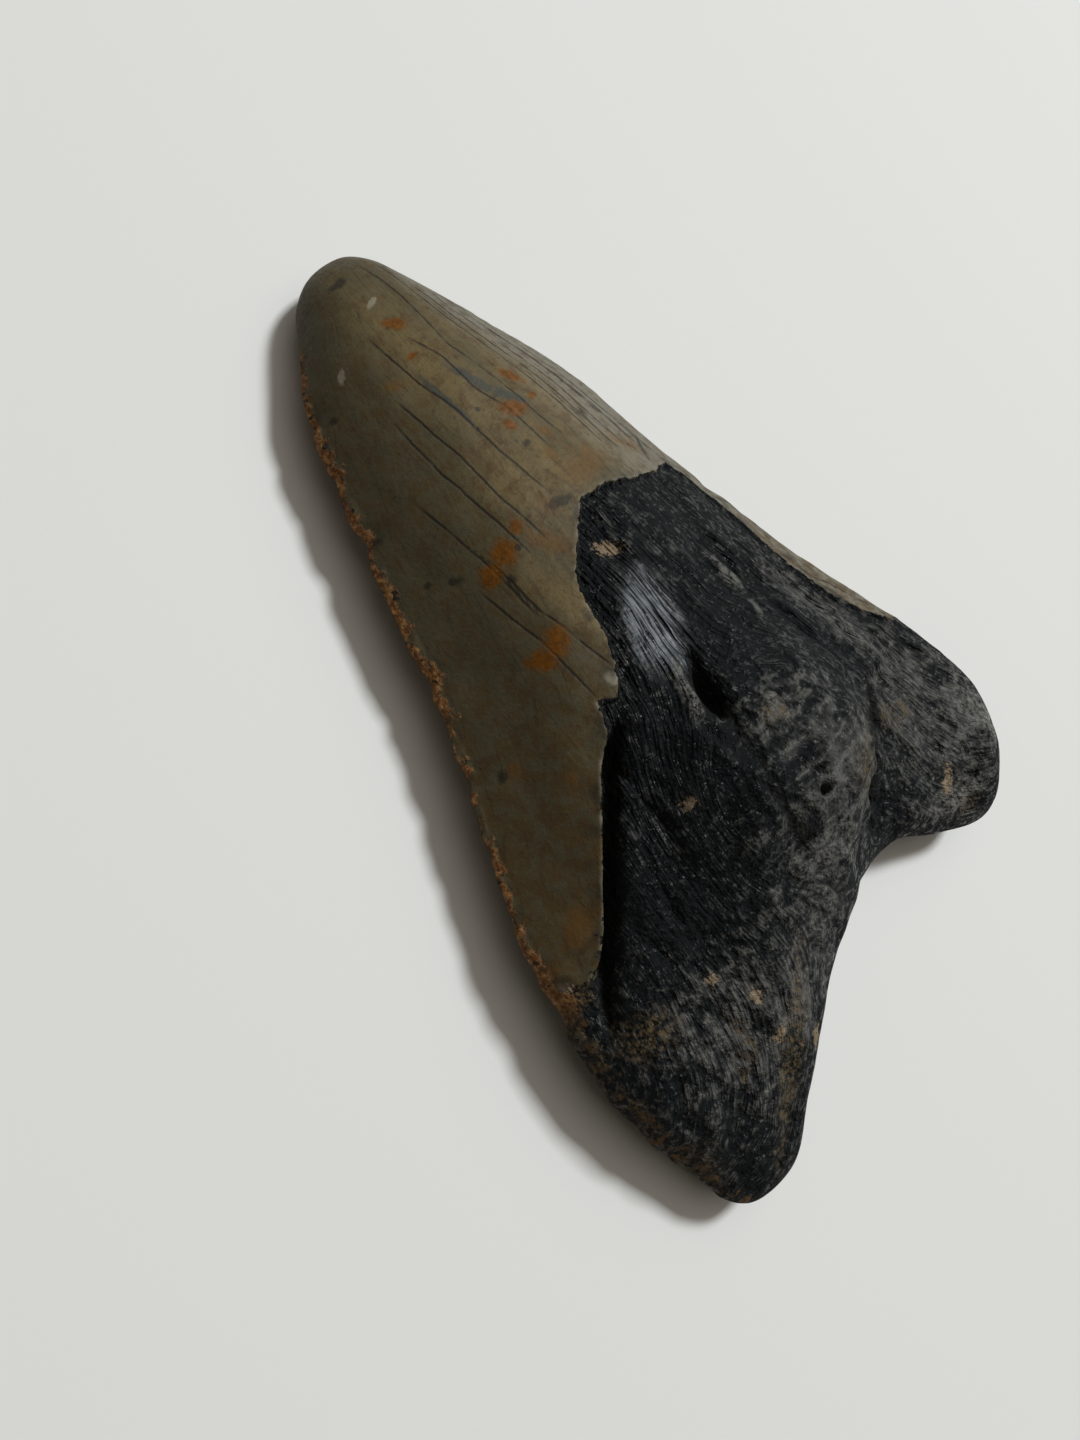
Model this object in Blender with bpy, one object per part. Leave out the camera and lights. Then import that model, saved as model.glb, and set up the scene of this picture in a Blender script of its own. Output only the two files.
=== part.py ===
"""Megalodon tooth, a fossil in one piece, at rest on its flat labial face.

The lingual face is up, the tip points along +Y and the root lobes along -Y.
The form is a loft: an outline is filled by a net of lines, across from the left cutting edge
to the right one and down from the tip to the root, and the net is raised to a lingual face
and lowered to a labial one.
"""
import bpy
import numpy as np

NAME = "tooth"
COLLECTION = "megalodon_tooth"
MM = 0.001

# Outline, seen from above: across from the tip's middle, down from the tip, height of the edge, in mm
TIP_KNOTS = [(-10.2, 1.8, 5.0), (-7.0, -0.2, 4.8), (-3.0, -0.9, 4.8), (0.5, -0.3, 4.8), (3.2, 1.9, 4.6)]
RIGHT_KNOTS = [(7.6, 8.0, 4.2), (13.6, 20.0, 4.0), (18.6, 32.0, 4.0), (21.8, 46.0, 4.0), (25.6, 60.0, 4.0),
               (30.2, 76.0, 4.2), (34.4, 88.5, 4.8), (37.0, 98.5, 6.2), (38.0, 110.5, 7.5)]
RIGHT_LOBE_KNOT = (34.2, 121.0, 7.0)
BASE_KNOTS = [(25.3, 125.8, 6.8), (16.1, 122.0, 7.2), (8.6, 117.4, 8.0), (1.2, 117.4, 8.0),
              (-7.8, 121.0, 8.0), (-17.6, 126.9, 8.0), (-26.9, 133.6, 7.2), (-35.6, 139.4, 6.4)]
LEFT_LOBE_KNOT = (-43.2, 138.4, 6.0)
LEFT_KNOTS = [(-47.1, 128.2, 6.6), (-48.9, 113.2, 7.4), (-46.6, 96.0, 8.0), (-42.0, 82.0, 8.0),
              (-37.2, 70.5, 8.0), (-32.0, 56.0, 7.6), (-28.2, 41.0, 7.4), (-24.6, 28.5, 7.0),
              (-20.2, 15.5, 6.6), (-14.8, 7.8, 6.0)]

# Share of the way from tip to root, and height over the edge, in mm
LINGUAL_CREST = [(0.0, 3.6), (0.06, 6.0), (0.15, 8.5), (0.3, 11.0), (0.45, 13.0), (0.6, 14.0),
                 (0.72, 13.2), (0.85, 9.8), (1.0, 6.5)]
# Share of the way from tip to root, and height of the labial middle line; below 0 it rests
LABIAL_CREST = [(0.0, 2.4), (0.1, 1.5), (0.25, 0.4), (0.4, -0.9), (0.6, -1.6), (0.7, -1.3),
                (0.8, 0.2), (0.9, -0.9), (1.0, -0.6)]

TIP_ROUND = 0.045          # share of the length that rounds the tip
ROOT_STARTS = 0.56         # the lens section of the crown turns into the slab of the root
ROOT_WHOLE = 0.88
CROWN_FULLNESS = 2.0
ROOT_FULLNESS = 2.2
LINGUAL_BASE_FROM = 0.84   # where the lobes' ends start to round off
LABIAL_BASE_FROM = 0.84
BASE_FULLNESS = 2.4
LABIAL_FLAT = 0.22         # share of the half width that stays level underneath
LABIAL_OPENS = 0.3         # share of the length over which the level band widens
LABIAL_BEVEL = 1.6
REST_EASE = 0.5            # how softly the labial face meets the surface it lies on
REST_SNAP = 0.03           # the flat patch takes in what is nearer to the surface than this

# Relief, in mm: across, down, then its half sizes
BOSS = (-4.0, 95.0, 17.0, 14.5)
BOSS_HEIGHT = 9.0
BOSS_ROUNDNESS = 1.35      # over 1 it has a broader top and steeper sides
FORAMEN = (-5.1, 98.5)
FORAMEN_RADIUS = 0.85
FORAMEN_DEPTH = 2.4
GOUGE = (-7.4, 79.4, 1.5, 3.9)
GOUGE_TURN = 17.0
GOUGE_DEPTH = 2.8
GOUGE_RIM = (-9.7, 78.6, 0.9, 4.0)
GOUGE_RIM_HEIGHT = 0.7
EDGE_LUMP = (-44.4, 96.4, 1.7, 2.0)
EDGE_LUMP_HEIGHT = 1.1

# Lower border of the lingual enamel, from the left edge to the right one
MARGIN = [(-60.0, 96.0), (-45.8, 96.2), (-42.3, 98.8), (-39.2, 97.4), (-36.4, 94.6), (-32.7, 89.4),
          (-28.1, 83.3), (-23.7, 77.7), (-20.6, 75.2), (-19.0, 71.0), (-16.6, 72.3), (-13.9, 68.6),
          (-12.5, 65.0), (-11.6, 60.6), (-10.3, 56.9), (-7.4, 53.9), (-3.5, 50.4), (-1.6, 48.9),
          (3.4, 49.2), (9.1, 50.9), (15.0, 51.6), (19.4, 51.4), (21.4, 54.4), (23.4, 61.2),
          (24.6, 69.2), (25.6, 77.0), (27.2, 83.8), (30.6, 89.4), (34.0, 93.4), (60.0, 96.0)]
ENAMEL_STEP = 1.0          # how far the enamel stands over the root at its border
STEP_WIDTH = 0.5
FAR = 200.0                # past the lobes' ends
STEP_REACH = 7.0           # how far from the border the root regains its own height
STEP_FADES = (-46.0, -37.0)     # across: the step runs out towards the left edge
TRENCH = [(-19.3, 74.4), (-25.5, 82.0), (-33.6, 91.9), (-40.0, 99.7), (-45.2, 108.0)]
TRENCH_DEPTH = 2.4
TRENCH_HALF_WIDTH = 1.1
TRENCH_STARTS = (74.0, 77.0)    # down
TRENCH_ENDS = (101.0, 108.5)
ENAMEL_WALL = (-0.3, 0.4)       # the trench starts at the enamel's border

# The fissure between the boss and the right lobe
CREVICE = [(17.5, 95.0), (15.5, 97.6), (12.8, 99.3), (9.7, 101.7), (6.5, 105.4), (4.6, 110.0), (4.0, 114.0)]
CREVICE_DEPTH = 2.8
CREVICE_HALF_WIDTH = 1.1
CREVICE_STEP = 2.6
CREVICE_REACH = 12.0
CREVICE_DEEPENS = (92.0, 98.0)
CREVICE_FADES = (109.0, 115.0)

# Creases left of the boss and round the right lobe's end: line, depth, half width
CREASES = [([(-7.2, 82.0), (-8.9, 85.7), (-10.4, 90.8), (-11.3, 96.8), (-11.0, 102.0)], 0.9, 1.0),
           ([(13.4, 114.0), (17.9, 118.3), (21.8, 118.6), (25.6, 118.2)], 0.6, 1.0)]

# Labial enamel border: an arch over the root
ARCH_ACROSS = -5.0
ARCH_DOWN = 86.0
ARCH_BEND = 0.0062
LABIAL_STEP = 0.5
LABIAL_STEP_WIDTH = 1.2
LABIAL_STEP_REACH = 9.0

# Chips in the worn cutting edges: side, down, half length, depth
CHIPS = [(-1, 17.6, 1.6, 0.7), (-1, 25.8, 1.1, 0.4), (-1, 35.0, 1.7, 0.8), (-1, 55.2, 1.4, 0.5),
         (-1, 68.9, 1.3, 0.6), (-1, 99.6, 2.4, 0.8), (1, 58.5, 1.6, 0.4)]
CHIP_REACH = 0.16

LUMP_SIZES = [(17.0, 0.35, 11), (8.0, 0.22, 12), (4.6, 0.14, 13)]
LUMP_WAVES = 9
LINGUAL_SEED = 0
LABIAL_SEED = 50
ENAMEL_LUMPS = 0.3         # share of the lumps' height that the enamel has
ROOT_LUMPS_FROM = 4.0      # how far from the border the root has their whole height
LABIAL_LUMPS = 0.6
RELIEF_WHOLE = 0.45        # height of the section, of 1 at the crest, from which relief is whole

LINES_DOWN = 140           # net lines that run from tip to root
LINES_ACROSS = 230
EDGE_GATHER = 0.85         # how much the lines gather at the cutting edges
END_SHARE = 0.25           # share of the length whose lines gather at the root's end
TIP_SHARE = 0.08
FORAMEN_SHARES = (0.032, 0.83)
FORAMEN_GATHER = 0.6       # how much the lines gather round the foramen
FORAMEN_GATHER_REACH = (0.16, 0.07)
TRIANGLES = 9400

TOOTH_COLOUR = (0.115, 0.105, 0.080, 1.0)
TOOTH_ROUGHNESS = 0.42


def clear_scene():
    for item in list(bpy.data.objects):
        bpy.data.objects.remove(item, do_unlink=True)


def smooth_step(x, low, high):
    t = np.clip((x - low) / (high - low), 0.0, 1.0)
    return t * t * (3.0 - 2.0 * t)


def hermite(t, start, end, start_slope, end_slope):
    return ((2 * t**3 - 3 * t**2 + 1) * start + (t**3 - 2 * t**2 + t) * start_slope
            + (3 * t**2 - 2 * t**3) * end + (t**3 - t**2) * end_slope)


def through(stations, x):
    """A smooth curve through (place, value) stations."""
    places, values = np.array(stations).T
    slopes = np.gradient(values, places)
    i = np.clip(np.searchsorted(places, x) - 1, 0, len(places) - 2)
    gap = places[i + 1] - places[i]
    t = (x - places[i]) / gap
    return hermite(t, values[i], values[i + 1], slopes[i] * gap, slopes[i + 1] * gap)


def rounded_stretches(knots, steps=40):
    """The stretches of a smooth closed curve, one from each knot to the next."""
    points = np.array(knots)
    count = len(points)
    t = np.linspace(0.0, 1.0, steps, endpoint=False)[:, None]
    stretches = []
    for i in range(count):
        before, start, end, after = (points[(i + k) % count] for k in (-1, 0, 1, 2))
        gap = np.linalg.norm(end - start)
        gap_before = np.linalg.norm(start - before)
        gap_after = np.linalg.norm(after - end)
        slope_in = (start - before) / gap_before * gap + (end - start) / gap * gap_before
        slope_out = (end - start) / gap * gap_after + (after - end) / gap_after * gap
        slope_in *= gap / (gap_before + gap)
        slope_out *= gap / (gap + gap_after)
        stretches.append(hermite(t, start, end, slope_in, slope_out))
    return stretches


def outline_sides():
    """The outline's four sides: tip and base from left to right, edges from tip to root."""
    knots = TIP_KNOTS + RIGHT_KNOTS + [RIGHT_LOBE_KNOT] + BASE_KNOTS + [LEFT_LOBE_KNOT] + LEFT_KNOTS
    stretches = rounded_stretches(knots)
    tip_end = len(TIP_KNOTS) - 1
    right_end = tip_end + len(RIGHT_KNOTS) + 1
    base_end = right_end + len(BASE_KNOTS) + 1

    def side(first, last):
        return np.vstack(stretches[first:last] + [np.array([knots[last % len(knots)]])])

    tip = side(0, tip_end)
    right = side(tip_end, right_end)
    base = side(right_end, base_end)[::-1]
    left = side(base_end, len(knots))[::-1]
    return tip, right, base, left


def along(curve, share):
    """Points at shares of a curve's length."""
    steps = np.linalg.norm(np.diff(curve, axis=0), axis=1)
    length = np.concatenate([[0.0], np.cumsum(steps)])
    return np.stack([np.interp(share * length[-1], length, curve[:, k]) for k in range(3)], axis=-1)


def edge_surface(u, v):
    """The net between the four sides, where u runs -1 to 1 across and v runs 0 to 1 down."""
    tip, right, base, left = outline_sides()
    s = (u + 1.0) / 2.0
    ends = (1.0 - v)[..., None] * along(tip, s) + v[..., None] * along(base, s)
    edges = (1.0 - s)[..., None] * along(left, v) + s[..., None] * along(right, v)
    corners = ((1.0 - s) * (1.0 - v))[..., None] * tip[0] + (s * (1.0 - v))[..., None] * tip[-1]
    corners += ((1.0 - s) * v)[..., None] * base[0] + (s * v)[..., None] * base[-1]
    net = ends + edges - corners
    return net[..., 0] + chips(u, net[..., 1]), net[..., 1], net[..., 2]


def chips(u, down):
    """Inward shift of the cutting edges where they are chipped."""
    shift = np.zeros_like(u)
    for side, place, half, depth in CHIPS:
        near_edge = np.exp(-((u - side) / CHIP_REACH) ** 2)
        shift -= side * depth * near_edge * np.exp(-((down - place) / half) ** 2)
    return shift


def mound(across, down, place, turn=0.0, roundness=1.0):
    """1 at a place, falling away over its half sizes."""
    c, s = np.cos(np.radians(turn)), np.sin(np.radians(turn))
    x = (across - place[0]) * c + (down - place[1]) * s
    y = (down - place[1]) * c - (across - place[0]) * s
    return np.exp(-((x / place[2]) ** 2 + (y / place[3]) ** 2) ** roundness)


def distance_to_line(across, down, line):
    """Distance to an open line, and the side: positive on the left of its run."""
    nearest = np.full(across.shape, np.inf)
    side = np.ones(across.shape)
    for (x0, y0), (x1, y1) in zip(line[:-1], line[1:]):
        dx, dy = x1 - x0, y1 - y0
        t = np.clip(((across - x0) * dx + (down - y0) * dy) / (dx * dx + dy * dy), 0.0, 1.0)
        ex, ey = across - x0 - t * dx, down - y0 - t * dy
        gap = np.hypot(ex, ey)
        closer = gap < nearest
        nearest = np.where(closer, gap, nearest)
        side = np.where(closer, np.sign(dx * ey - dy * ex), side)
    return nearest * side


def inside_of(across, down, polygon):
    """True for points inside a closed polygon, by counting the sides crossed on the way out."""
    inside = np.zeros(across.shape, dtype=bool)
    for (x0, y0), (x1, y1) in zip(polygon, polygon[1:] + polygon[:1]):
        if y0 == y1:
            continue
        meets = (y0 > down) != (y1 > down)
        inside ^= meets & (across < x0 + (down - y0) * (x1 - x0) / (y1 - y0))
    return inside


def past_margin(across, down):
    """Distance from the enamel's lower border: above 0 on the root, below 0 on the enamel."""
    gap = np.abs(distance_to_line(across, down, MARGIN))
    root = inside_of(across, down, MARGIN + [(MARGIN[-1][0], FAR), (MARGIN[0][0], FAR)])
    return np.where(root, gap, -gap)


def lumps(across, down, face):
    """Gentle unevenness made of a few crossing waves of each size."""
    total = np.zeros_like(across)
    for size, height, seed in LUMP_SIZES:
        waves = np.random.default_rng(seed + face)
        for angle, phase in zip(waves.uniform(0, np.pi, LUMP_WAVES), waves.uniform(0, 2 * np.pi, LUMP_WAVES)):
            run = across * np.cos(angle) + down * np.sin(angle)
            total += height / np.sqrt(LUMP_WAVES) * np.cos(2 * np.pi * run / size + phase)
    return total


def lingual_section(u, v):
    """1 on the crest and 0 on the outline: a lens at the crown, a rounded slab at the root."""
    root = smooth_step(v, ROOT_STARTS, ROOT_WHOLE)
    lens = 1.0 - np.abs(u) ** CROWN_FULLNESS
    slab = np.sqrt(np.clip(1.0 - np.abs(u) ** ROOT_FULLNESS, 0.0, 1.0))
    tip = np.sqrt(1.0 - (1.0 - np.clip(v / TIP_ROUND, 0.0, 1.0)) ** 2)
    t = np.clip((v - LINGUAL_BASE_FROM) / (1.0 - LINGUAL_BASE_FROM), 0.0, 1.0)
    base = np.sqrt(np.clip(1.0 - t ** BASE_FULLNESS, 0.0, 1.0))
    return (lens * (1.0 - root) + slab * root) * tip * base


def enamel_relief(across, down, gap):
    """The step from the enamel down to the root, and the trench beside it."""
    step = ENAMEL_STEP * smooth_step(gap, 0.0, STEP_WIDTH) * np.exp(-np.clip(gap, 0.0, None) / STEP_REACH)
    beside = np.exp(-(distance_to_line(across, down, TRENCH) / TRENCH_HALF_WIDTH) ** 2)
    lasts = smooth_step(down, *TRENCH_STARTS) * (1.0 - smooth_step(down, *TRENCH_ENDS))
    trench = TRENCH_DEPTH * beside * lasts * smooth_step(gap, *ENAMEL_WALL)
    return -step * smooth_step(across, *STEP_FADES) - trench


def root_relief(across, down):
    """The gouge with its rim, the lump at the left edge, the foramen, the creases and the crevice."""
    relief = GOUGE_RIM_HEIGHT * mound(across, down, GOUGE_RIM, GOUGE_TURN)
    relief += EDGE_LUMP_HEIGHT * mound(across, down, EDGE_LUMP)
    relief -= GOUGE_DEPTH * mound(across, down, GOUGE, GOUGE_TURN)
    from_foramen = np.hypot(across - FORAMEN[0], down - FORAMEN[1])
    relief -= FORAMEN_DEPTH * np.exp(-(from_foramen / FORAMEN_RADIUS) ** 4)
    for line, depth, half_width in CREASES:
        relief -= depth * np.exp(-(distance_to_line(across, down, line) / half_width) ** 2)
    gap = distance_to_line(across, down, CREVICE)
    open_for = smooth_step(down, *CREVICE_DEEPENS) * (1.0 - smooth_step(down, *CREVICE_FADES))
    relief -= CREVICE_DEPTH * open_for * np.exp(-(gap / CREVICE_HALF_WIDTH) ** 2)
    beyond = smooth_step(-gap, -0.5, 2.5) * np.exp(-np.clip(-gap, 0.0, None) / CREVICE_REACH)
    return relief - CREVICE_STEP * open_for * beyond


def lingual_face(u, v):
    across, down, edge = edge_surface(u, v)
    section = lingual_section(u, v)
    boss = BOSS_HEIGHT * mound(across, down, BOSS, roundness=BOSS_ROUNDNESS)
    form = through(LINGUAL_CREST, v) + boss
    gap = past_margin(across, down)
    relief = enamel_relief(across, down, gap) + root_relief(across, down)
    lumpy = ENAMEL_LUMPS + (1.0 - ENAMEL_LUMPS) * smooth_step(gap, 0.0, ROOT_LUMPS_FROM)
    relief += lumpy * lumps(across, down, LINGUAL_SEED)
    inside = smooth_step(section, 0.0, RELIEF_WHOLE)
    return across, down, edge + section * form + inside * relief


def soft_floor(height):
    """The height, cut off at 0 with a soft bend."""
    bend = (height + REST_EASE) ** 2 / (4.0 * REST_EASE)
    return np.where(height > REST_EASE, height, np.where(height > -REST_EASE, bend, 0.0))


def labial_face(u, v):
    across, down, edge = edge_surface(u, v)
    opening = 1.0 - np.clip(1.0 - v / LABIAL_OPENS, 0.0, 1.0) ** 2
    flat = LABIAL_FLAT * opening
    k = np.clip((np.abs(u) - flat) / (1.0 - flat), 0.0, 1.0)
    t = np.clip((v - LABIAL_BASE_FROM) / (1.0 - LABIAL_BASE_FROM), 0.0, 1.0)
    root = smooth_step(v, ROOT_STARTS, ROOT_WHOLE)
    slab = np.sqrt(np.clip(1.0 - k ** BASE_FULLNESS, 0.0, 1.0))
    slab *= np.sqrt(np.clip(1.0 - t ** BASE_FULLNESS, 0.0, 1.0))
    depth = (1.0 - k ** LABIAL_BEVEL) * (1.0 - root) + slab * root
    past_arch = down - ARCH_DOWN - ARCH_BEND * (across - ARCH_ACROSS) ** 2
    step = LABIAL_STEP * smooth_step(past_arch, 0.0, LABIAL_STEP_WIDTH)
    step *= np.exp(-np.clip(past_arch, 0.0, None) / LABIAL_STEP_REACH)
    middle = through(LABIAL_CREST, v) + step + LABIAL_LUMPS * lumps(across, down, LABIAL_SEED)
    return across, down, soft_floor(edge + (middle - edge) * depth)


def net_shares():
    """u and v of the net's lines, gathered at the edges, the tip, the lobes' ends and the foramen."""
    w = np.linspace(-1.0, 1.0, LINES_DOWN)
    u = EDGE_GATHER * np.sin(np.pi * w / 2.0) + (1.0 - EDGE_GATHER) * w
    v = np.linspace(0.0, 1.0, LINES_ACROSS)
    at_end = v > 1.0 - END_SHARE
    v[at_end] = 1.0 - END_SHARE + END_SHARE * np.sin((v[at_end] - 1.0 + END_SHARE) / END_SHARE * np.pi / 2.0)
    at_tip = v < TIP_SHARE
    v[at_tip] = TIP_SHARE * (1.0 - np.cos(v[at_tip] / TIP_SHARE * np.pi / 2.0))
    u, v = np.meshgrid(u, v)
    from_u, from_v = u - FORAMEN_SHARES[0], v - FORAMEN_SHARES[1]
    reach_u, reach_v = FORAMEN_GATHER_REACH
    pull = FORAMEN_GATHER * np.exp(-(from_u / reach_u) ** 2 - (from_v / reach_v) ** 2)
    return u - pull * from_u, v - pull * from_v


def net_faces(top, bottom):
    """Quads of both faces; the two grids of indices share their border."""
    faces = []
    rows, columns = top.shape
    for i in range(rows - 1):
        for j in range(columns - 1):
            faces.append((top[i, j], top[i + 1, j], top[i + 1, j + 1], top[i, j + 1]))
            faces.append((bottom[i, j], bottom[i, j + 1], bottom[i + 1, j + 1], bottom[i + 1, j]))
    return faces


def tooth_mesh():
    u, v = net_shares()
    upper = np.stack(lingual_face(u, v), axis=-1)
    lower = np.stack(labial_face(u, v), axis=-1)
    rows, columns = u.shape
    top = np.arange(rows * columns).reshape(rows, columns)
    bottom = top.copy()
    inner = np.arange((rows - 2) * (columns - 2)).reshape(rows - 2, columns - 2)
    bottom[1:-1, 1:-1] = inner + rows * columns
    points = np.concatenate([upper.reshape(-1, 3), lower[1:-1, 1:-1].reshape(-1, 3)])
    points[:, 1] *= -1.0
    low, high = points.min(axis=0), points.max(axis=0)
    points -= [(low[0] + high[0]) / 2.0, (low[1] + high[1]) / 2.0, low[2]]
    mesh = bpy.data.meshes.new(NAME)
    mesh.from_pydata((points * MM).tolist(), [], [tuple(map(int, face)) for face in net_faces(top, bottom)])
    mesh.update()
    return mesh


def tooth_material():
    material = bpy.data.materials.new("tooth")
    material.use_nodes = True
    shader = material.node_tree.nodes["Principled BSDF"]
    shader.inputs["Base Color"].default_value = TOOTH_COLOUR
    shader.inputs["Roughness"].default_value = TOOTH_ROUGHNESS
    shader.inputs["Metallic"].default_value = 0.0
    return material


def simplified(fine_mesh):
    """A copy with few triangles, whose flat patch lies exactly on the surface below."""
    fine = bpy.data.objects.new("fine_tooth", fine_mesh)
    bpy.context.scene.collection.objects.link(fine)
    fewer = fine.modifiers.new("fewer_faces", "DECIMATE")
    fewer.ratio = TRIANGLES / (2.0 * len(fine_mesh.polygons))
    fewer.use_collapse_triangulate = True
    evaluated = fine.evaluated_get(bpy.context.evaluated_depsgraph_get())
    mesh = bpy.data.meshes.new_from_object(evaluated)
    bpy.data.objects.remove(fine)
    for vertex in mesh.vertices:
        if vertex.co.z < REST_SNAP * MM:
            vertex.co.z = 0.0
    return mesh


def build_tooth():
    mesh = simplified(tooth_mesh())
    mesh.materials.append(tooth_material())
    mesh.shade_smooth()
    tooth = bpy.data.objects.new(NAME, mesh)
    collection = bpy.data.collections.new(COLLECTION)
    bpy.context.scene.collection.children.link(collection)
    collection.objects.link(tooth)


clear_scene()
build_tooth()
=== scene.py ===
"""Looks of the megalodon tooth: its full relief, enamel, root, floor, light and camera.

Places on the tooth are in mm: across from the tip's middle and down from the tip.
"""
from math import cos, radians, sin

import bpy
import numpy as np
from mathutils import Matrix, Quaternion, Vector


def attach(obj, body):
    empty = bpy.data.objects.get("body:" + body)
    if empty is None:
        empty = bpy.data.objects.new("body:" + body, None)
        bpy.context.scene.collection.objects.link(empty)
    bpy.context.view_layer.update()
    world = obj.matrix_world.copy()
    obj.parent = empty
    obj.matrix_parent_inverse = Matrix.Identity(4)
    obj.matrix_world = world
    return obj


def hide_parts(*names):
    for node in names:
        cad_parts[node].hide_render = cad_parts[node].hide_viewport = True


MM = 0.001
TINY = 1e-6

# Outline: across, down, height of the edge
TIP_KNOTS = [(-10.2, 1.8, 5.0), (-7.0, -0.2, 4.8), (-3.0, -0.9, 4.8), (0.5, -0.3, 4.8), (3.2, 1.9, 4.6)]
RIGHT_KNOTS = [(7.6, 8.0, 4.2), (13.6, 20.0, 4.0), (18.6, 32.0, 4.0), (21.8, 46.0, 4.0), (25.6, 60.0, 4.0),
               (30.2, 76.0, 4.2), (34.4, 88.5, 4.8), (37.0, 98.5, 6.2), (38.0, 110.5, 7.5)]
RIGHT_LOBE_KNOT = (34.2, 121.0, 7.0)
BASE_KNOTS = [(25.3, 125.8, 6.8), (16.1, 122.0, 7.2), (8.6, 117.4, 8.0), (1.2, 117.4, 8.0),
              (-7.8, 121.0, 8.0), (-17.6, 126.9, 8.0), (-26.9, 133.6, 7.2), (-35.6, 139.4, 6.4)]
LEFT_LOBE_KNOT = (-43.2, 138.4, 6.0)
LEFT_KNOTS = [(-47.1, 128.2, 6.6), (-48.9, 113.2, 7.4), (-46.6, 96.0, 8.0), (-42.0, 82.0, 8.0),
              (-37.2, 70.5, 8.0), (-32.0, 56.0, 7.6), (-28.2, 41.0, 7.4), (-24.6, 28.5, 7.0),
              (-20.2, 15.5, 6.6), (-14.8, 7.8, 6.0)]

# Share of the way from tip to root, and height
LINGUAL_CREST = [(0.0, 3.6), (0.06, 6.0), (0.15, 8.5), (0.3, 11.0), (0.45, 13.0), (0.6, 14.0),
                 (0.72, 13.2), (0.85, 9.8), (1.0, 6.5)]
LABIAL_CREST = [(0.0, 2.4), (0.1, 1.5), (0.25, 0.4), (0.4, -0.9), (0.6, -1.6), (0.7, -1.3),
                (0.8, 0.2), (0.9, -0.9), (1.0, -0.6)]
TIP_ROUND = 0.045
ROOT_STARTS = 0.56
ROOT_WHOLE = 0.88
CROWN_FULLNESS = 2.0
ROOT_FULLNESS = 2.2
BASE_FROM = 0.84
BASE_FULLNESS = 2.4
LABIAL_FLAT = 0.22
LABIAL_OPENS = 0.3
LABIAL_BEVEL = 1.6
REST_EASE = 0.5

# Relief: across, down, half sizes
BOSS = (-4.0, 95.0, 17.0, 14.5)
BOSS_HEIGHT = 9.0
BOSS_ROUNDNESS = 1.35
FORAMEN = (-5.1, 98.5)
FORAMEN_RADIUS = 0.85
FORAMEN_DEPTH = 2.4
GOUGE = (-7.4, 79.4, 1.5, 3.9)
GOUGE_TURN = 17.0
GOUGE_DEPTH = 2.8
GOUGE_RIM = (-9.7, 78.6, 0.9, 4.0)
GOUGE_RIM_HEIGHT = 0.7
EDGE_LUMP = (-44.4, 96.4, 1.7, 2.0)
EDGE_LUMP_HEIGHT = 1.1
MARGIN = [(-60.0, 96.0), (-45.8, 96.2), (-42.3, 98.8), (-39.2, 97.4), (-36.4, 94.6), (-32.7, 89.4),
          (-28.1, 83.3), (-23.7, 77.7), (-20.6, 75.2), (-19.0, 71.0), (-16.6, 72.3), (-13.9, 68.6),
          (-12.5, 65.0), (-11.6, 60.6), (-10.3, 56.9), (-7.4, 53.9), (-3.5, 50.4), (-1.6, 48.9),
          (3.4, 49.2), (9.1, 50.9), (15.0, 51.6), (19.4, 51.4), (21.4, 54.4), (23.4, 61.2),
          (24.6, 69.2), (25.6, 77.0), (27.2, 83.8), (30.6, 89.4), (34.0, 93.4), (60.0, 96.0)]
ENAMEL_STEP = 1.0
STEP_WIDTH = 0.5
STEP_REACH = 7.0
FAR = 200.0
STEP_FADES = (-46.0, -37.0)
TRENCH = [(-19.3, 74.4), (-25.5, 82.0), (-33.6, 91.9), (-40.0, 99.7), (-45.2, 108.0)]
TRENCH_DEPTH = 2.4
TRENCH_HALF_WIDTH = 1.1
TRENCH_STARTS = (74.0, 77.0)
TRENCH_ENDS = (101.0, 108.5)
ENAMEL_WALL = (-0.3, 0.4)
CREVICE = [(17.5, 95.0), (15.5, 97.6), (12.8, 99.3), (9.7, 101.7), (6.5, 105.4), (4.6, 110.0), (4.0, 114.0)]
CREVICE_DEPTH = 2.8
CREVICE_HALF_WIDTH = 1.1
CREVICE_STEP = 2.6
CREVICE_STEP_RUN = (-0.5, 2.5)
CREVICE_REACH = 12.0
# Half width of the crevice's painted shade on the side where the root steps down
CREVICE_SHADE_WIDTH = 2.4
CREVICE_WANDER = (2.4, 0.8, 61)  # size, width, seed
CREVICE_DEEPENS = (92.0, 98.0)
CREVICE_FADES = (109.0, 115.0)
# Creases and furrows: line, depth, half width
CREASES = [([(-7.2, 82.0), (-8.9, 85.7), (-10.4, 90.8), (-11.3, 96.8), (-11.0, 102.0)], 0.9, 1.0),
           ([(13.4, 114.0), (17.9, 118.3), (21.8, 118.6), (25.6, 118.2)], 0.6, 1.0)]
ARCH_ACROSS = -5.0
ARCH_DOWN = 86.0
ARCH_BEND = 0.0062
LABIAL_STEP = 0.5
LABIAL_STEP_WIDTH = 1.2
LABIAL_STEP_REACH = 9.0
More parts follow.
